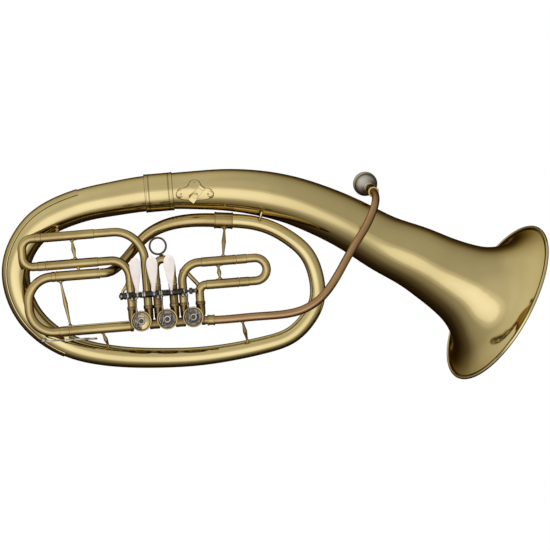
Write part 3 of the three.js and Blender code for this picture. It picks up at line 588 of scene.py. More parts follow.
# The rim is rolled over a wire, and a narrow band runs round the flare behind it: a thin dark bronze ring, painted
# shade in the crease under the rolled rim.
bell = ROUTES["bell"]
rim_point, rim_along, _, _, rim_radius, _ = frame_at(bell, bell["reach"][-1])
RIM_WIRE = 2.3
CREASE_WIRE = 0.6


# A round section for a ring: its wire radius, the middle of the wire and how many corners it has.
def wire_section(wire_radius, ring_radius, along=0, corners=14):
    turn = full_turn(corners)
    return [(ring_radius + wire_radius * math.cos(a), along + wire_radius * math.sin(a)) for a in turn]


bead = wire_section(RIM_WIRE, rim_radius / MM - 1.2, -0.6, 16)
turned("bell_rim", bead, rim_point, rim_along, "lacquered_brass", ring=True, count=144, soft=0)
# The dark ring in the crease is painted shade.
crease = wire_section(CREASE_WIRE, rim_radius / MM - 4.5, -2.2, 10)
turned("bell_rim_crease_shade", crease, rim_point, rim_along, "dark_bronze", ring=True, count=144, soft=0)

BEAD = [(-1.1, 0), (-0.9, 0.35), (-0.4, 0.6), (0.4, 0.6), (0.9, 0.35), (1.1, 0)]
BAND = [(-1.6, 0), (-1.4, 0.3), (1.4, 0.3), (1.6, 0)]
SEAM = [(-0.3, 0.02), (-0.2, 0.16), (0.2, 0.16), (0.3, 0.02)]
for node in ("branch_ferrule", "leadpipe_ferrule"):
    for k, place in enumerate((1.3, -1.3)):
        collar(f"{node}_bead_{k}", ROUTES[node], place * MM, BEAD)
low_bead = [(offset, height * 0.5) for offset, height in BEAD]
ferrule = ROUTES["bell_ferrule"]
for k, place in enumerate((1.3, -1.3)):
    collar(f"bell_ferrule_bead_{k}", ferrule, place * MM, low_bead, finish="lacquered_brass", count=96)
for k, place in enumerate((0.1, 5.4, 6.6, -0.1, -5.4, -6.6)):
    collar(f"bell_ferrule_seam_{k}", ferrule, place * MM, SEAM, finish="dark_bronze", count=96)
collar("receiver_bead", ROUTES["mouthpiece_receiver"], -1.4 * MM, BEAD)
collar("receiver_foot_bead", ROUTES["mouthpiece_receiver"], 1.4 * MM, BEAD)

# A band strengthens the mouth of each sleeve, and the ferrules of each slide.
SLEEVE_MOUTHS = {
    "third_slide_upper_sleeve": (1.8,), "third_slide_lower_sleeve": (1.8,),
    "first_slide_upper_sleeve": (-1.8,), "first_slide_lower_sleeve": (-1.8,),
    "tuning_slide_upper_sleeve": (1.8, -1.8), "tuning_slide_lower_sleeve": (1.8,),
}
for node, places in SLEEVE_MOUTHS.items():
    for k, place in enumerate(places):
        collar(f"{node}_band_{k}", ROUTES[node], place * MM, BAND, BODY_OF[node])
for node in ("second_slide_left_sleeve", "second_slide_right_sleeve"):
    route = ROUTES[node]
    top = max((0, -1), key=lambda k: route["points"][k][2])
    collar(f"{node}_band", route, (1.6 if top == 0 else -1.6) * MM, BAND)

for node in (
    "third_slide_brace", "tuning_slide_brace", "first_slide_brace", "third_slide_bow_brace",
    "tuning_slide_bow_brace", "leadpipe_brace", "first_slide_bow_brace",
):
    brace(node)


# ---- Valves ----

CASING = {"radius": 14.0, "half": 13.0, "bore": 12.4, "cap": 15.4}
MAIN_DROP, LOOP_OFFSET, PORT_REACH, LOOP_REACH = 6.0, 12.0, 14.6, 20.5
CRANK = 8.0
PIN = (CRANK * math.cos(math.radians(225)), CRANK * math.sin(math.radians(225)))
FRONT = -BACK
KNURL = (15.2, 40, 0.35)


# Corners at a distance and at angles round a valve's axis.
def round_axis(distance, *degrees):
    return [(distance * math.cos(math.radians(a)), distance * math.sin(math.radians(a))) for a in degrees]


def casing(valve):
    x, middle = VALVE_X[valve], local(VALVE_X[valve], 0, 0)
    radius, half, bore, cap_radius = CASING["radius"], CASING["half"], CASING["bore"], CASING["cap"]
    # The casing, its ports and its knuckles take the deeper painted-shade brass.
    barrel = [
        (bore, -half), (radius + 0.5, -half), (radius + 0.5, -half + 2.2), (radius, -half + 2.8),
        (radius, half - 2.8), (radius + 0.5, half - 2.2), (radius + 0.5, half), (bore, half),
    ]
    turned(f"{valve}_casing", barrel, middle, BACK, "deep_shade_brass", stands_for=[f"{valve}_valve_casing"],
           ring=True, count=64)
    knuckle = [
        (0, -1.4), (3.4, -0.8), (5.6, 1.2), (6.5, 4.4), (6.6, LOOP_REACH - 3.4), (7.3, LOOP_REACH - 3),
        (7.3, LOOP_REACH + 1.8), (6.35, LOOP_REACH + 2), (6.35, LOOP_REACH), (5.4, LOOP_REACH), (5.4, 7),
        (0, 7),
    ]
    for side in (-1, 1):
        joined = 7.3 if (valve, side) == ("third", -1) else 6.1
        port = [
            (5.4, 11.5), (6.5, 11.5), (6.5, PORT_REACH - 2.6), (joined + 1, PORT_REACH - 2.2),
            (joined + 1, PORT_REACH + 2), (joined, PORT_REACH + 2.2), (joined, PORT_REACH), (5.4, PORT_REACH),
        ]
        turned(f"{valve}_main_port_{side + 1}", port, local(x, 0, -MAIN_DROP), ACROSS * side, "deep_shade_brass",
               ring=True, count=40)
        elbow = local(x + side * LOOP_OFFSET, 0, 0)
        turned(f"{valve}_loop_port_{side + 1}", knuckle, elbow, UP, "deep_shade_brass", count=40, soft=1)
    cap = [
        (0, 15.8), (bore, 15.8), (bore, half + 0.3), (cap_radius, half + 0.3), (cap_radius, 17.4),
        (13.6, 18.2), (9.5, 18.6), (9, 18.2), (5.2, 18.2), (4.6, 19.4), (4, 20.5), (0, 20.8),
    ]
    turned(f"{valve}_rear_cap", cap, middle, BACK, "lacquered_brass", stands_for=[f"{valve}_back_cap"],
           count=160, flutes=KNURL)


# The front plate is a knurled ring round a dished bearing plate, with two cork stops and three screws.
def front_plate(valve):
    x, middle = VALVE_X[valve], local(VALVE_X[valve], 0, 0)
    ring = [(12.2, 13.3), (15.4, 13.3), (15.4, 17.4), (14.6, 17.9), (13.2, 17.6), (12.9, 15.6), (12.2, 15.4)]
    # The cap ring takes the painted-shade copy of the brass.
    turned(f"{valve}_cap_ring", ring, middle, FRONT, "shaded_brass", stands_for=[f"{valve}_front_plate"],
           ring=True, count=160, flutes=KNURL)
    dish = [
        (3.9, 13.5), (12.4, 13.5), (12.4, 16.2), (11.4, 16.6), (9.6, 15.4), (6.2, 15.2), (5.6, 15.7),
        (3.9, 15.7),
    ]
    # The bearing plate takes the painted-shade copy of the nickel.
    turned(f"{valve}_bearing_plate", dish, middle, FRONT, "shaded_nickel", ring=True, count=64)
    for k, (right, up) in enumerate(round_axis(9.6, 250, 110)):
        cork_at = local(x + right, -15.0, up)
        slab(f"{valve}_cork_{k}", rectangle(3.6, 3.0), 0, 2.6, cork_at, UP, ACROSS, "gunmetal")
    for k, (right, up) in enumerate(round_axis(10.6, 200, 320, 60)):
        screw(f"{valve}_plate_screw_{k}", local(x + right, -16.4, up), FRONT, 1.25)


# The stop arm grips the stem of the rotor with a clamp screw, and carries the crank pin.
def stop_arm(valve):
    body, middle = f"{valve}_rotor", local(VALVE_X[valve], 0, 0)
    hub = [(3.7, 15.9), (5.4, 15.9), (5.4, 18.6), (4.9, 19.2), (3.7, 19.2)]
    turned(f"{valve}_stop_hub", hub, middle, FRONT, "nickel_silver", body, [f"{valve}_stop_arm"], ring=True,
           count=40)
    nut = [(0, 20.9), (1.6, 20.9), (3.3, 20.2), (3.3, 19.3), (0, 19.3)]
    turned(f"{valve}_stem_nut", nut, middle, FRONT, "gunmetal", body, count=24)
    radial = (ACROSS * PIN[0] + UP * PIN[1]).normalized()
    sideways = radial.cross(BACK)
    arm = rounded([(3.8, -2.4), (CRANK + 1, -1.9), (CRANK + 2.6, 0), (CRANK + 1, 1.9), (3.8, 2.4)], 1.2, True)
    slab(f"{valve}_crank", arm, -18.6, -16.2, middle, radial, -sideways, "nickel_silver", body)
    pin_at = local(VALVE_X[valve] + PIN[0], 0, PIN[1])
    pin = [(0, 17), (1.1, 17), (1.1, 22.8), (0.8, 23.2), (0, 23.2)]
    turned(f"{valve}_crank_pin", pin, pin_at, FRONT, "nickel_silver", body, count=20)
    head = [(0, 22.6), (2, 22.6), (2, 23.4), (1.2, 23.9), (0, 23.9)]
    turned(f"{valve}_pin_head", head, pin_at, FRONT, "gunmetal", body, count=24)
    clamp = rounded([(4.2, -1.6), (8.2, -1.4), (8.8, 0), (8.2, 1.4), (4.2, 1.6)], 0.8, True)
    slab(f"{valve}_clamp", clamp, -18.6, -16.4, middle, -radial, sideways, "nickel_silver", body)
    screw(f"{valve}_clamp_screw", local(VALVE_X[valve], -18.7, 0) - radial * 6.6 * MM, FRONT, 1.3, body)


# ---- Levers and links ----

HINGE = {"y": -17.0, "z": 38.4}
PADDLE = {"lean": math.radians(26), "length": 61.0, "half_width": 8.2}
SWING = math.radians(27)
TAIL = CRANK * math.sqrt(2) / (2 * math.sin(SWING / 2))
LINK_SIDE = 5.2
SPRING = {"radius": 4.45, "wire": 0.62, "pitch": 1.75}
LEVERS = {
    "third": {"neck": -40.8, "barrel": (-56, -32), "tail": VALVE_X["third"] + PIN[0] - LINK_SIDE},
    "second": {"neck": -16.2, "barrel": (-31.4, -7), "tail": PIN[0] - LINK_SIDE},
    "first": {"neck": 9.2, "barrel": (-6.4, 29), "tail": 26},
}
TAIL_TIP = (HINGE["y"] - TAIL * math.cos(SWING / 2), HINGE["z"] - TAIL * math.sin(SWING / 2))


# A point on the hinge's axis, or beside it.
def hinge_point(x, back=0, up=0):
    return local(x, HINGE["y"] + back, HINGE["z"] + up)


# Points along a curve between two ends, drawn towards the two points between them.
def bezier(points, shares):
    a, b, c, d = (np.array(p, dtype=float) for p in points)
    return [(1 - t)**3 * a + 3 * t * (1 - t)**2 * b + 3 * t * t * (1 - t) * c + t**3 * d for t in shares]


# A teardrop touch piece: flat in front and slightly crowned, with a round edge, narrowing to a stiff neck.
def paddle(valve):
    length, wide = PADDLE["length"], PADDLE["half_width"]
    flank = bezier([(1.7, 0), (2.3, 14), (wide - 0.8, 30), (wide, length - 15)], np.linspace(0, 1, 22))
    crown = bezier([(wide, length - 15), (wide + 0.6, length - 7), (6, length), (0.15, length)],
                   np.linspace(0.1, 1, 14))
    rise = FRONT * math.sin(PADDLE["lean"]) + UP * math.cos(PADDLE["lean"])
    face = ACROSS.cross(rise)
    foot = hinge_point(LEVERS[valve]["neck"])
    loops = []
    for half, along in [*flank, *crown]:
        thick = (1.0 + 0.7 * max(0, 1 - along / 26)) * min(1, (half / 2.5) ** 0.5)
        loop = []
        for a in full_turn(28):
            sideways = math.copysign(abs(math.cos(a)) ** 0.55, math.cos(a)) * half
            out = math.copysign(abs(math.sin(a)) ** 0.7, math.sin(a)) * thick
            out += 0.5 * (1 - (sideways / (half + 0.01)) ** 2) * min(1, half / 8)
            loop.append(foot + (ACROSS * sideways + face * out + rise * along) * MM)
        loops.append(loop)
    vertices, faces = skin(loops)
    piece(f"{valve}_paddle", vertices, faces, "lever_white", f"{valve}_lever", [f"{valve}_lever"], sharp=60)


# The barrel turns on the hinge rod between two collars, with the return spring wound round it.
def barrel(valve):
    low, high = LEVERS[valve]["barrel"]
    neck, body = LEVERS[valve]["neck"], f"{valve}_lever"
    wall = [
        (2.4, low), (4.4, low), (4.4, low + 1.8), (3.7, low + 2.2), (3.7, high - 2.2), (4.4, high - 1.8),
        (4.4, high), (2.4, high),
    ]
    turned(f"{valve}_barrel", wall, hinge_point(0), ACROSS, "gunmetal", body, ring=True, count=40)
    for k, (place, size) in enumerate(((low + 1.1, 5.0), (neck, 4.9), (high - 1.1, 5.0))):
        band = [(3.5, place - 1.1), (size, place - 1.1), (size, place + 1.1), (3.5, place + 1.1)]
        turned(f"{valve}_barrel_band_{k}", band, hinge_point(0), ACROSS, "nickel_silver", body, ring=True,
               count=40)
    for k, (start, end) in enumerate(((low + 2.6, neck - 2.4), (neck + 2.4, high - 2.6))):
        turns = max(2, round((end - start) / SPRING["pitch"]))
        angles = np.linspace(0, 2 * math.pi * turns, turns * 18)
        spring = [
            hinge_point(start + (end - start) * a / angles[-1], SPRING["radius"] * math.cos(a),
                        SPRING["radius"] * math.sin(a))
            for a in angles
        ]
        wire(f"{valve}_spring_{k}", spring, SPRING["wire"], "gunmetal", body, count=8)


# The tail reaches forward and down from the barrel, and ends in an eye with the link's pin.
def tail(valve):
    x, body = LEVERS[valve]["tail"], f"{valve}_lever"
    run = FRONT * math.cos(SWING / 2) - UP * math.sin(SWING / 2)
    outline = [
        (3.6, -2), (TAIL - 4, -1.5), (TAIL - 1.5, -2.9), (TAIL + 1.6, -2.7), (TAIL + 3.1, 0),
        (TAIL + 1.6, 2.7), (TAIL - 1.5, 2.9), (TAIL - 4, 1.5), (3.6, 2),
    ]
    slab(f"{valve}_tail", rounded(outline, 1.4, True), -1.6, 1.6, hinge_point(x), run, ACROSS.cross(run),
         "nickel_silver", body)
    pin = [
        (0, -2.4), (1.7, -2.4), (1.7, -1.5), (0.9, -1.4), (0.9, LINK_SIDE + 1.5), (1.5, LINK_SIDE + 1.6),
        (1.5, LINK_SIDE + 2.3), (0, LINK_SIDE + 2.4),
    ]
    turned(f"{valve}_tail_pin", pin, local(x, *TAIL_TIP), ACROSS, "gunmetal", body, count=20, soft=0.15)


# The link is a threaded rod with a ball eye at each end and a lock nut behind each eye.
def link(valve):
    body = f"{valve}_link"
    top = local(LEVERS[valve]["tail"] + LINK_SIDE, *TAIL_TIP)
    bottom = local(VALVE_X[valve] + PIN[0], -21.2, PIN[1])
    axis = (top - bottom).normalized()
    length = (top - bottom).length / MM
    rod = [
        (0, 2.5), (1.9, 2.5), (1.9, 4.6), (1.2, 4.8), (1.2, length * 0.35), (1.55, length * 0.4),
        (1.55, length * 0.6), (1.2, length * 0.65), (1.2, length - 5.2), (1.9, length - 5),
        (1.9, length - 2.8), (0, length - 2.8),
    ]
    turned(f"{valve}_link_rod", rod, bottom, axis, "nickel_silver", body, [f"{valve}_link"], count=24)
    for end, place, facing, hole, size, flat, half in (
        ("top", top, ACROSS, 1.7, 3.0, 0.4, 1.0), ("low", bottom, BACK, 1.5, 2.8, 0.5, 1.2),
    ):
        shoulder = hole + 0.8
        eye = [(hole, -half), (shoulder, -half), (size, -flat), (size, flat), (shoulder, half), (hole, half)]
        turned(f"{valve}_link_{end}_eye", eye, place, facing, "nickel_silver", body, ring=True, count=32,
               soft=0.2)


for valve in VALVES:
    casing(valve)
    front_plate(valve)
    stop_arm(valve)
    paddle(valve)
    barrel(valve)
    tail(valve)
    link(valve)


# ---- Guards, holders and fittings ----

# A place in the horn's own frame, from millimetres.
def spot(x, y, z):
    return np.array((x, y, z)) * MM


# The bow's guard follows its curve outside the wall, with a low bead along each edge and solder behind it.
GUARD_SHARES = (0.115, 0.4)
GUARD_SPREAD = 0.26 * math.pi
GUARD_EDGE = [(-1, -0.3), (-1, 1.0), (-0.96, 1.6), (-0.92, 1.6), (-0.88, 1.2)]
SOLDER_EDGE = [(-1.035, -0.3), (-1.035, 0.3), (-1, 0.45)]
bow = ROUTES["main_bow"]


def guard_strip(name, edge, finish, stands_for=()):
    section = edge + [(share, edge[-1][1]) for share in np.linspace(-0.8, 0.8, 17)]
    section += [(-share, height) for share, height in reversed(edge)]
    start, end = (share * bow["reach"][-1] for share in GUARD_SHARES)
    loops = []
    for stop in np.linspace(start, end, 70):
        point, along, side, _, outer, _ = frame_at(bow, stop)
        away = side if side.dot(point - spot(10, 30, -60)) > 0 else -side
        front = np.cross(along, away)
        loop = []
        for share, height in section:
            angle = GUARD_SPREAD * share
            loop.append(point + (outer + height * MM) * (math.cos(angle) * away + math.sin(angle) * front))
        loops.append(loop)
    piece(name, *skin(loops), finish, "horn", stands_for, sharp=45)


guard_strip("bow_guard_strip", GUARD_EDGE, "lacquered_brass", ["bow_guard"])
guard_strip("bow_guard_solder", SOLDER_EDGE, "dark_bronze")

# The mouthpiece: tapered shank, turned knob, round cup and a broad rim.
SHANK_DIRECTION = (-0.145, 0.955, 0.143)
MOUTHPIECE = [
    (4.6, 2), (4.9, 10), (5.4, 24), (5.6, 28.6), (7.0, 29.2), (7.8, 31), (7.8, 33.6), (6.5, 35.2),
    (7.1, 36.8), (8.4, 38.2), (9.6, 41), (11.6, 44), (13.8, 47.6), (15.4, 51.5), (16.0, 56), (16.2, 60.5),
    (16.8, 62.6), (18, 64.6), (18, 68.2), (17.4, 69.4), (15.6, 70), (13.6, 69.6), (12.8, 68.4), (12.2, 64),
    (11.6, 58), (9.6, 51.6), (6.4, 47.4), (3, 45), (2.6, 30), (3.4, 2),
]
turned("mouthpiece_turned", MOUTHPIECE, ROUTES["leadpipe"]["points"][-1], SHANK_DIRECTION, "silver_plate",
       "mouthpiece", ["mouthpiece"], ring=True, count=72, soft=0.8)

# The thumb ring stands on the crook of the second slide.
ring_body = BODY_OF["thumb_ring"]
turned("thumb_hoop", wire_section(1.5, 12), spot(0, 0, 0), BACK, "dark_bronze", ring_body, ["thumb_ring"],
       ring=True, count=72, soft=0)
hoop_foot = [(0, -1.5), (1.6, -1.2), (1.7, 0), (2.4, 1.6), (4.2, 2.6), (4.2, 3.6), (0, 3.6)]
turned("thumb_hoop_foot", hoop_foot, spot(3.4, 0, -12.2), (0.55, 0, -0.84), "dark_bronze", ring_body,
       count=32)

# The lyre holder is a three-lobed plate on the bell branch with a square post for the lyre.
LOBES = rounded([
    (-26, -10), (-27, -3), (-22, 3), (-15, 3), (-9, 6), (-7, 13), (0, 16), (7, 13), (9, 6), (15, 2),
    (22, 1.5), (27, -4), (26, -11), (16, -14.5), (0, -15.5), (-16, -14),
], 4, True, steps=5)
LYRE_POST = spot(56.8, -6.2, 75.7)
POST_LEAN = math.radians(36.5)
plate_at, _ = nearest(bell, spot(54, 0, 82))
climb = 1 if np.cross(frame_at(bell, plate_at)[1], FRONT)[2] > 0 else -1
plate = patch("lyre_plate", bell, plate_at, FRONT, [(x, climb * z) for x, z in LOBES], 1.5)
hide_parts("lyre_holder_plate")
solder = [(x * 1.02 + math.copysign(0.4, x), climb * (z * 1.02 + math.copysign(0.4, z))) for x, z in LOBES]
patch("lyre_plate_solder", bell, plate_at, FRONT, solder, 0.5, finish="dark_bronze")
for k, (x, z) in enumerate(((-20, -5), (20, -6), (0, 10.5))):
    point, along, _, _, outer, _ = frame_at(bell, plate_at + x * MM)
    angle = z * MM / outer
    facing = math.cos(angle) * np.array(FRONT) + math.sin(angle) * unit(np.cross(along, FRONT) * climb)
    rivet_at = point + facing * (outer + 1.2 * MM)
    screw(f"lyre_plate_rivet_{k}", rivet_at, facing, 1.7, finish="lacquered_brass")
post_axis = np.array((math.sin(POST_LEAN), 0, math.cos(POST_LEAN)))
post_side = np.array((math.cos(POST_LEAN), 0, -math.sin(POST_LEAN)))
post_loops = []
for half, along in (
    (4.2, -13.9), (4.9, -13.4), (5, -12.8), (5, 9.4), (5.5, 9.8), (5.5, 13.2), (5, 13.9), (3.7, 13.9),
    (3.3, 13.4), (3.3, -9.9),
):
    square = rectangle(half * 2, half * 2, soft=0.9)
    middle = LYRE_POST + post_axis * along * MM
    post_loops.append([middle + (post_side * a + np.array(BACK) * b) * MM for a, b in square])
piece("lyre_post_square", *skin(post_loops), "lacquered_brass", "horn", ["lyre_post"])
thumb_screw = [(0, 4), (1.5, 4), (1.5, 7.4), (4.2, 7.6), (4.4, 8.2), (4.4, 10.2), (3.9, 10.8), (0, 11)]
turned("lyre_screw", thumb_screw, LYRE_POST - post_axis * 2.5 * MM, FRONT, "lacquered_brass", count=80,
       flutes=(4.1, 20, 0.5))

# The water key rocks on a saddle: a cork pad at one end, a spatula at the other and a spring between.
KEY_X, KEY_Z, PAD_X = -149.4, -18.4, -183
key_body = BODY_OF["water_key"]
lever = rounded([
    (-33.6, -1.1), (-6, -1.1), (-2.6, -2.6), (2.6, -2.6), (7, -1.6), (26, -2.4), (38, -3.6), (44.6, -3.4),
    (45.4, -1.6), (44, -0.2), (26, 0.9), (7, 1.0), (2.6, 2.4), (-2.6, 2.4), (-6, 1.1), (-33.6, 1.1),
], 1.2, True)
# The key takes the painted-shade copy of the nickel.
slab("water_key_lever", lever, -2.4, 2.4, local(KEY_X, 0, KEY_Z), ACROSS, UP, "shaded_nickel", key_body,
     ["water_key"])
pad_point = local(PAD_X, 0, KEY_Z)
cup = [(0, -1.4), (2.6, -1.3), (4, -0.2), (4, 4.2), (3.4, 4.6), (0, 4.6)]
turned("water_key_cup", cup, pad_point, UP, "shaded_nickel", key_body, count=36)
cork = [(0, 4.4), (3.2, 4.4), (3.2, 5), (0, 5)]
turned("water_key_cork", cork, pad_point, UP, "dark_bronze", key_body, count=36, soft=0.1)
for k, side in enumerate((-1, 1)):
    coil = [
        local(KEY_X + 2.9 * math.cos(a), side * (2.5 + 0.07 * a), KEY_Z + 2.9 * math.sin(a))
        for a in np.linspace(0.6, 6 * math.pi, 90)
    ]
    coil.append(local(KEY_X - 12, side * 2.9, KEY_Z - 0.6))
    wire(f"water_key_spring_{k}", coil, 0.3, "nickel_silver", key_body, count=8)
    pivot_at = local(KEY_X, side * 5.1, KEY_Z)
    screw(f"water_key_pivot_{k}", pivot_at, BACK * side, 1.6, BODY_OF["water_key_saddle"])

# The hinge rod is held at both ends. The left end also carries a brass gusset to the tube beside it.
rod = [
    (0, -68), (2.4, -67.8), (3, -67), (3, -66.7), (2, -66.6), (2, 40.4), (3.2, 40.6), (3.2, 42.4), (0, 42.8),
]
turned("hinge_rod_turned", rod, hinge_point(0), ACROSS, "gunmetal", stands_for=["hinge_rod"], count=32)
left_knuckle = [
    (2.3, -66.5), (4.9, -66.5), (5.3, -66), (5.3, -62.8), (4.3, -62.4), (4.3, -60.8), (5.3, -60.4),
    (5.3, -57.2), (4.9, -56.7), (2.3, -56.7),
]
right_knuckle = [(2.3, 35.1), (4.3, 35.1), (4.7, 35.6), (4.7, 39.4), (4.3, 39.9), (2.3, 39.9)]
turned("left_hinge_knuckle", left_knuckle, hinge_point(0), ACROSS, "gunmetal",
       stands_for=["left_hinge_bracket"], ring=True, count=48)
left_foot_at = hinge_point(-58.8, 10.1, 1)
slab("left_hinge_foot", rectangle(4.2, 8, soft=0.8), 0, 10, left_foot_at, ACROSS, UP, "gunmetal")
screw("left_hinge_screw", hinge_point(-64.4, -5.2), FRONT, 1.8)
turned("right_hinge_knuckle", right_knuckle, hinge_point(0), ACROSS, "gunmetal",
       stands_for=["right_hinge_bracket"], ring=True, count=48)
slab("right_hinge_foot", rectangle(4.6, 6, soft=0.8), 0, 10, hinge_point(37.5, 9.9), ACROSS, UP, "gunmetal")
slab("right_hinge_plate", rectangle(11, 6, soft=1.2), 0, 1.8, hinge_point(40.5, 9.9), ACROSS, UP, "gunmetal")
screw("right_hinge_screw", hinge_point(44, 7.8), FRONT, 1.5)
gusset = rounded([(-52, -71.5), (-54, -67), (-47, -55), (-40, -53.6), (-40, -58.4), (-45, -62)], 1.5, True)
slab("left_hinge_gusset", gusset, -1.6, 1.6, spot(0, 0, 0), (1, 0, 0), (0, 0, 1), "shaded_brass")

# Clamps and small braces soldered between neighbouring tubes.
CLAMP = [(-2.2, 0), (-2, 0.7), (2, 0.7), (2.2, 0)]
for name, node, point in (
    ("gusset_clamp", "third_slide_lower_sleeve", spot(-43, 0, -54.6)),
    ("strut_clamp_0", "first_slide_upper_sleeve", spot(42, 0, -40)),
    ("strut_clamp_1", "first_slide_lower_sleeve", spot(60, 0, -57)),
):
    collar(name, ROUTES[node], nearest(ROUTES[node], point)[0], CLAMP)
wire("first_neck_strut", [spot(40, 0, -36), spot(49, 0, -45.6), spot(59, 0, -56)], 3.2, "shaded_brass")
spool = [(0, -1.2), (3.4, -1.2), (3.4, 0.2), (1.9, 0.9), (1.9, 2.3), (3.4, 3.0), (3.4, 4.4), (0, 4.4)]
turned("loop_spool", spool, local(-124, 0, 81.8), UP, "lacquered_brass", count=32)
pipe_spot = spot(302.5, 38.6, 25)
rest_at, rest_gap = nearest(bell, pipe_spot)
rest_axis = unit(frame_at(bell, rest_at)[0] - pipe_spot)
rest_length = rest_gap / MM
rest = [
    (0, -2), (2.8, -2), (2.6, -0.4), (2, 0.8), (1.7, rest_length * 0.5), (2, rest_length - 0.8),
    (2.6, rest_length + 0.2), (2.6, rest_length + 1), (0, rest_length + 1),
]
turned("leadpipe_rest", rest, pipe_spot, rest_axis, "lacquered_brass", count=32)
patch("leadpipe_rest_foot", bell, rest_at, -rest_axis, DIAMOND, 0.8)
stay = [spot(149, 19.5, 37.5), spot(150.6, 17.4, 43), spot(152.4, 14.6, 49.5)]
wire("bell_stay", stay, 2.0, "lacquered_brass")
stay_feet = ((bow, stay[0], (0, -0.85, 0.5)), (bell, stay[2], (0, -0.78, -0.62)))
for k, (route, point, facing) in enumerate(stay_feet):
    patch(f"bell_stay_foot_{k}", route, nearest(route, point)[0], facing, DIAMOND, 0.9)

# The third valve wears a brass half-plate. The others get a dark gunmetal ring round the stem, painted shade for
# the recess there.
half_turn = np.linspace(-90, 90, 25)
half_plate = round_axis(12.3, *half_turn) + round_axis(6.0, *reversed(half_turn))
slab("third_half_plate", half_plate, 0, 1.1, local(VALVE_X["third"], -15.9, 0), ACROSS, UP, "lacquered_brass",
     soft=0.15)
# A dark ring laid on the dish round the stem: painted shade for the recess.
recess_shade = [(5.5, 15.4), (8.8, 15.3), (8.8, 15.9), (8.2, 16.1), (5.5, 16)]
for valve in ("second", "first"):
    turned(f"{valve}_recess", recess_shade, local(VALVE_X[valve], 0, 0), FRONT, "gunmetal", ring=True, count=40)


# ---- Materials of the CAD nodes that stay as they are ----

for node, made in NODES.items():
    made.data.materials.clear()
    made.data.materials.append(MATERIALS[finish_of(node)])


# ---- Studio ----

VIEW_CENTRE = Vector((171.8 * MM, 0, -42.5 * MM))
VIEW_WIDTH = 805.75 * MM
CAMERA_REACH = 30.0
camera_data = bpy.data.cameras.new("camera")
camera_data.sensor_width = 36
camera_data.lens = camera_data.sensor_width * CAMERA_REACH / VIEW_WIDTH
camera_data.clip_end = 2 * CAMERA_REACH
camera = bpy.data.objects.new("camera", camera_data)
bpy.context.scene.collection.objects.link(camera)
camera.location = VIEW_CENTRE + FRONT * CAMERA_REACH
camera.rotation_euler = (math.pi / 2, 0, 0)
bpy.context.scene.camera = camera

LIGHT_REACH = 3.0
LIGHT_WIDTH = 2.4


# A soft rectangular light that shines at the horn from a direction: azimuth from the front, height above it.
def softbox(name, azimuth, height, tall, power):
    data = bpy.data.lights.new(name, "AREA")
    data.shape = "RECTANGLE"
    data.size, data.size_y = LIGHT_WIDTH, tall
    data.energy = power
    data.color = (1.0, 0.98, 0.95)
    light = bpy.data.objects.new(name, data)
    bpy.context.scene.collection.objects.link(light)
    turn, lift = math.radians(azimuth), math.radians(height)
    direction = Vector((math.sin(turn) * math.cos(lift), -math.cos(turn) * math.cos(lift), math.sin(lift)))
    light.location = VIEW_CENTRE + direction * LIGHT_REACH
    light.rotation_euler = (-direction).to_track_quat("-Z", "Y").to_euler()
    light.visible_camera = False
    light.visible_glossy = False


softbox("front", -12, 4, 2.0, 42)
softbox("above", 20, 62, 1.2, 22)

# What the metal mirrors: an even glow in front and above, brown and dim behind the horn and below it,
# with a row of broad soft lights round the viewer, a little lower, and a faint fill from the upper left.
GLOW_AXIS = (-0.2, -0.86, 0.46)
GLOW = [
    (0.0, (0.02, 0.012, 0.006)), (0.16, (0.04, 0.028, 0.016)), (0.32, (0.14, 0.115, 0.08)),
    (0.48, (0.42, 0.395, 0.35)), (0.66, (0.56, 0.545, 0.51)), (0.88, (0.64, 0.63, 0.61)),
    (1.0, (0.8, 0.79, 0.77)),
]
FILL_AXIS = (-0.72, 0.12, 0.68)
FILL = [(0.45, grey(0)), (0.8, (0.2, 0.2, 0.175)), (1.0, (0.34, 0.34, 0.31))]
KEY_AXES = [(-0.395, -0.887, -0.242), (-0.16, -0.94, -0.3), (0.08, -0.93, -0.36)]
KEY = [(0.77, grey(0)), (0.87, (0.25, 0.245, 0.23)), (0.94, (0.78, 0.79, 0.9)), (1.0, (0.94, 0.96, 1.15))]
studio = bpy.data.worlds.new("studio")
bpy.context.scene.world = studio
studio.use_nodes = True
sky, wires = studio.node_tree.nodes, studio.node_tree.links
spot_of_sky = sky.new("ShaderNodeTexCoord")


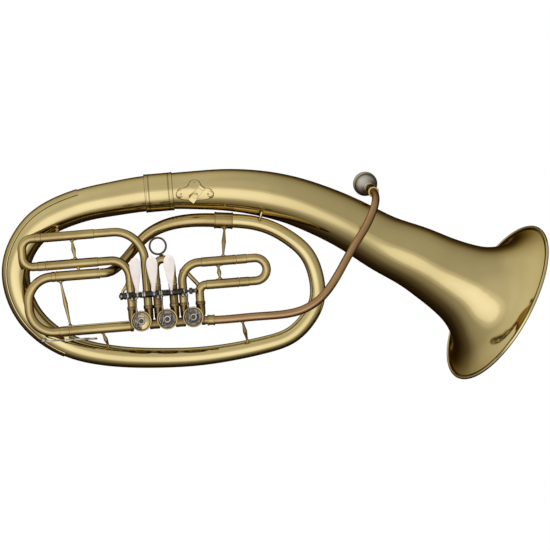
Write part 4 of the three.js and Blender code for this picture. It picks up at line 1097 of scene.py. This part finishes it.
# A glow that depends on the angle to an axis. With a spread of one half it reaches all the way round.
def glow_about(axis, spread, stops):
    towards = sky.new("ShaderNodeVectorMath")
    towards.operation = "DOT_PRODUCT"
    towards.inputs[1].default_value = unit(axis)
    share = sky.new("ShaderNodeMath")
    share.operation = "MULTIPLY_ADD"
    share.inputs[1].default_value = spread
    share.inputs[2].default_value = 1 - spread
    shade = ramp_of(sky, stops)
    wires.new(spot_of_sky.outputs["Generated"], towards.inputs[0])
    wires.new(towards.outputs["Value"], share.inputs[0])
    wires.new(share.outputs["Value"], shade.inputs["Fac"])
    return shade


def combined(operation, first, second):
    node = sky.new("ShaderNodeVectorMath")
    node.operation = operation
    wires.new(first, node.inputs[0])
    wires.new(second, node.inputs[1])
    return node.outputs["Vector"]


around = glow_about(GLOW_AXIS, 0.5, GLOW)
around.color_ramp.interpolation = "LINEAR"
mirrored = combined("ADD", around.outputs["Color"], glow_about(FILL_AXIS, 1.0, FILL).outputs["Color"])
brightest = glow_about(KEY_AXES[0], 1.0, KEY).outputs["Color"]
for axis in KEY_AXES[1:]:
    brightest = combined("MAXIMUM", brightest, glow_about(axis, 1.0, KEY).outputs["Color"])
glow = sky["Background"]
wires.new(combined("ADD", mirrored, brightest), glow.inputs["Color"])

# The camera itself sees plain white.
white = sky.new("ShaderNodeBackground")
white.inputs["Color"].default_value = (1, 1, 1, 1)
path = sky.new("ShaderNodeLightPath")
mix = sky.new("ShaderNodeMixShader")
wires.new(path.outputs["Is Camera Ray"], mix.inputs["Fac"])
wires.new(glow.outputs["Background"], mix.inputs[1])
wires.new(white.outputs["Background"], mix.inputs[2])
wires.new(mix.outputs["Shader"], sky["World Output"].inputs["Surface"])
bpy.context.scene.view_settings.view_transform = "Standard"

FLOOR_Z = -0.62
floor_mesh = bpy.data.meshes.new("floor")
floor_corners = [(-3, -3, FLOOR_Z), (3.4, -3, FLOOR_Z), (3.4, 3, FLOOR_Z), (-3, 3, FLOOR_Z)]
floor_mesh.from_pydata(floor_corners, [], [(0, 1, 2, 3)])
floor = bpy.data.objects.new("floor", floor_mesh)
bpy.context.scene.collection.objects.link(floor)
floor_material, _, _, floor_shader = node_tree("pale_floor")
floor_shader.inputs["Base Color"].default_value = (0.9, 0.9, 0.89, 1)
floor_shader.inputs["Roughness"].default_value = 0.8
floor_mesh.materials.append(floor_material)
floor.visible_glossy = False
